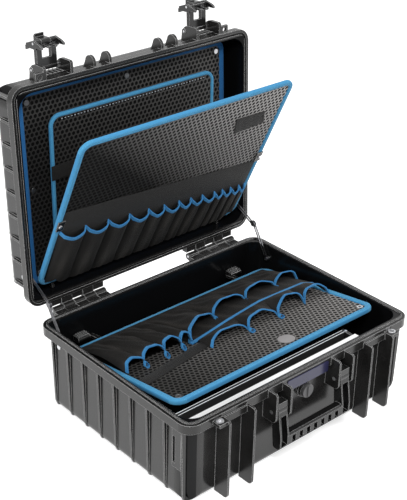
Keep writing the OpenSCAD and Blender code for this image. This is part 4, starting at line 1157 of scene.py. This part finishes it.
def make_ear_seat(name, x):
    """The block under a latch link, with ridges across it, swung open with the lid."""
    left, right = x - SEAT_HALF, x + SEAT_HALF
    block = block_between(name + "_block", (left, SEAT_Y[0], SEAT_Z[0]),
                          (right, SEAT_Y[1], SEAT_Z[1]), 0.8 * MM)
    ridge = block_between(name + "_ridge", (left + RIDGE_IN, SEAT_Y[0] - PROUD, SEAT_Z[0] + PROUD),
                          (left + RIDGE_IN + RIDGE_W, SEAT_Y[0] + PROUD, SEAT_Z[1] - PROUD),
                          0.5 * MM)
    repeat(ridge, RIDGES, (RIDGE_STEP, 0, 0))
    whole = join([block, ridge], name)
    turn = (Matrix.Translation(hinge_point) @ Matrix.Rotation(math.radians(-LID_ANGLE), 4, "X")
            @ Matrix.Translation(-hinge_point))
    whole.matrix_world = turn @ whole.matrix_world
    settle()
    return wear(whole, trim_finish, HARD, "lid")


seats = [make_ear_seat("ear_seat_left", -EAR_X), make_ear_seat("ear_seat_right", EAR_X)]
print("ear seats:", [len(part.data.polygons) for part in seats])

# %% [markdown]
# Each row is taken as cut from one strip, with ease for its pockets and a mouth that
# isn't straight, so its area is smaller than its width times its length. No cut of a
# real case is known: the areas were chosen to match the modelled rows, and they prove
# nothing about real cloth.


# %% [markdown]
# ## Floor, backdrop and light
# A white floor and world with four rectangular lamps. The brightness of the floor and
# the world is raised only for rays that come from the camera, a mirror or glass, so the
# case is lit plainly and its shadow stays.

# %% Studio
FLOOR_SIZE, FLOOR_GLOW = 60, 0.68
WORLD_LIGHT, WORLD_SEEN = 0.36, 1.0


def seen_ray(tree):
    """1 for rays from the camera, a mirror or glass, and 0 for those that light things."""
    path = tree.nodes.new("ShaderNodeLightPath")
    first = compute(tree, "MAXIMUM", path.outputs["Is Camera Ray"], path.outputs["Is Glossy Ray"])
    return compute(tree, "MAXIMUM", first.outputs[0],
                   path.outputs["Is Transmission Ray"]).outputs[0]


def make_floor():
    clear_hand()
    bpy.ops.mesh.primitive_plane_add(size=FLOOR_SIZE)
    floor = named("floor")
    material = bpy.data.materials.new("white_floor")
    tree, out = empty_tree(material, "ShaderNodeOutputMaterial")
    matt = add_node(tree, "ShaderNodeBsdfDiffuse", Color=(0.82, 0.82, 0.82, 1))
    glow = add_node(tree, "ShaderNodeEmission", Color=(1, 1, 1, 1))
    tree.links.new(grade(tree, seen_ray(tree), 0.0, FLOOR_GLOW), glow.inputs["Strength"])
    total = add_node(tree, "ShaderNodeAddShader", [(matt.outputs[0], 0), (glow.outputs[0], 1)])
    tree.links.new(total.outputs[0], out.inputs[0])
    floor.data.materials.append(material)


def make_world():
    world = bpy.data.worlds.new("studio")
    bpy.context.scene.world = world
    tree, out = empty_tree(world, "ShaderNodeOutputWorld")
    sky = add_node(tree, "ShaderNodeBackground", Color=(1, 1, 1, 1))
    tree.links.new(grade(tree, seen_ray(tree), WORLD_LIGHT, WORLD_SEEN), sky.inputs["Strength"])
    tree.links.new(sky.outputs[0], out.inputs[0])


def make_lamp(name, place, aim, size, power):
    """A rectangular lamp at one place, turned towards another."""
    lamp = bpy.data.objects.new(name, bpy.data.lights.new(name, "AREA"))
    bpy.context.scene.collection.objects.link(lamp)
    lamp.data.shape = "RECTANGLE"
    lamp.data.size, lamp.data.size_y = size
    lamp.data.energy = power
    lamp.location = place
    lamp.rotation_euler = (Vector(aim) - Vector(place)).to_track_quat("-Z", "Y").to_euler()


make_floor()
make_world()
make_lamp("key", (-1.2, -1.6, 2.4), (0, 0, 0.25), (0.6, 0.6), 50)
make_lamp("side", (-2.2, 0.2, 1.2), (0, 0, 0.2), (0.5, 1.4), 20)
make_lamp("right", (2.0, -1.2, 1.4), (0, 0, 0.2), (0.4, 1.2), 22)
make_lamp("top", (0.2, 0.6, 2.6), (0, 0, 0.3), (1.6, 1.2), 18)
bpy.context.scene.view_settings.view_transform = "Standard"
print("lamps:", len(bpy.data.lights))
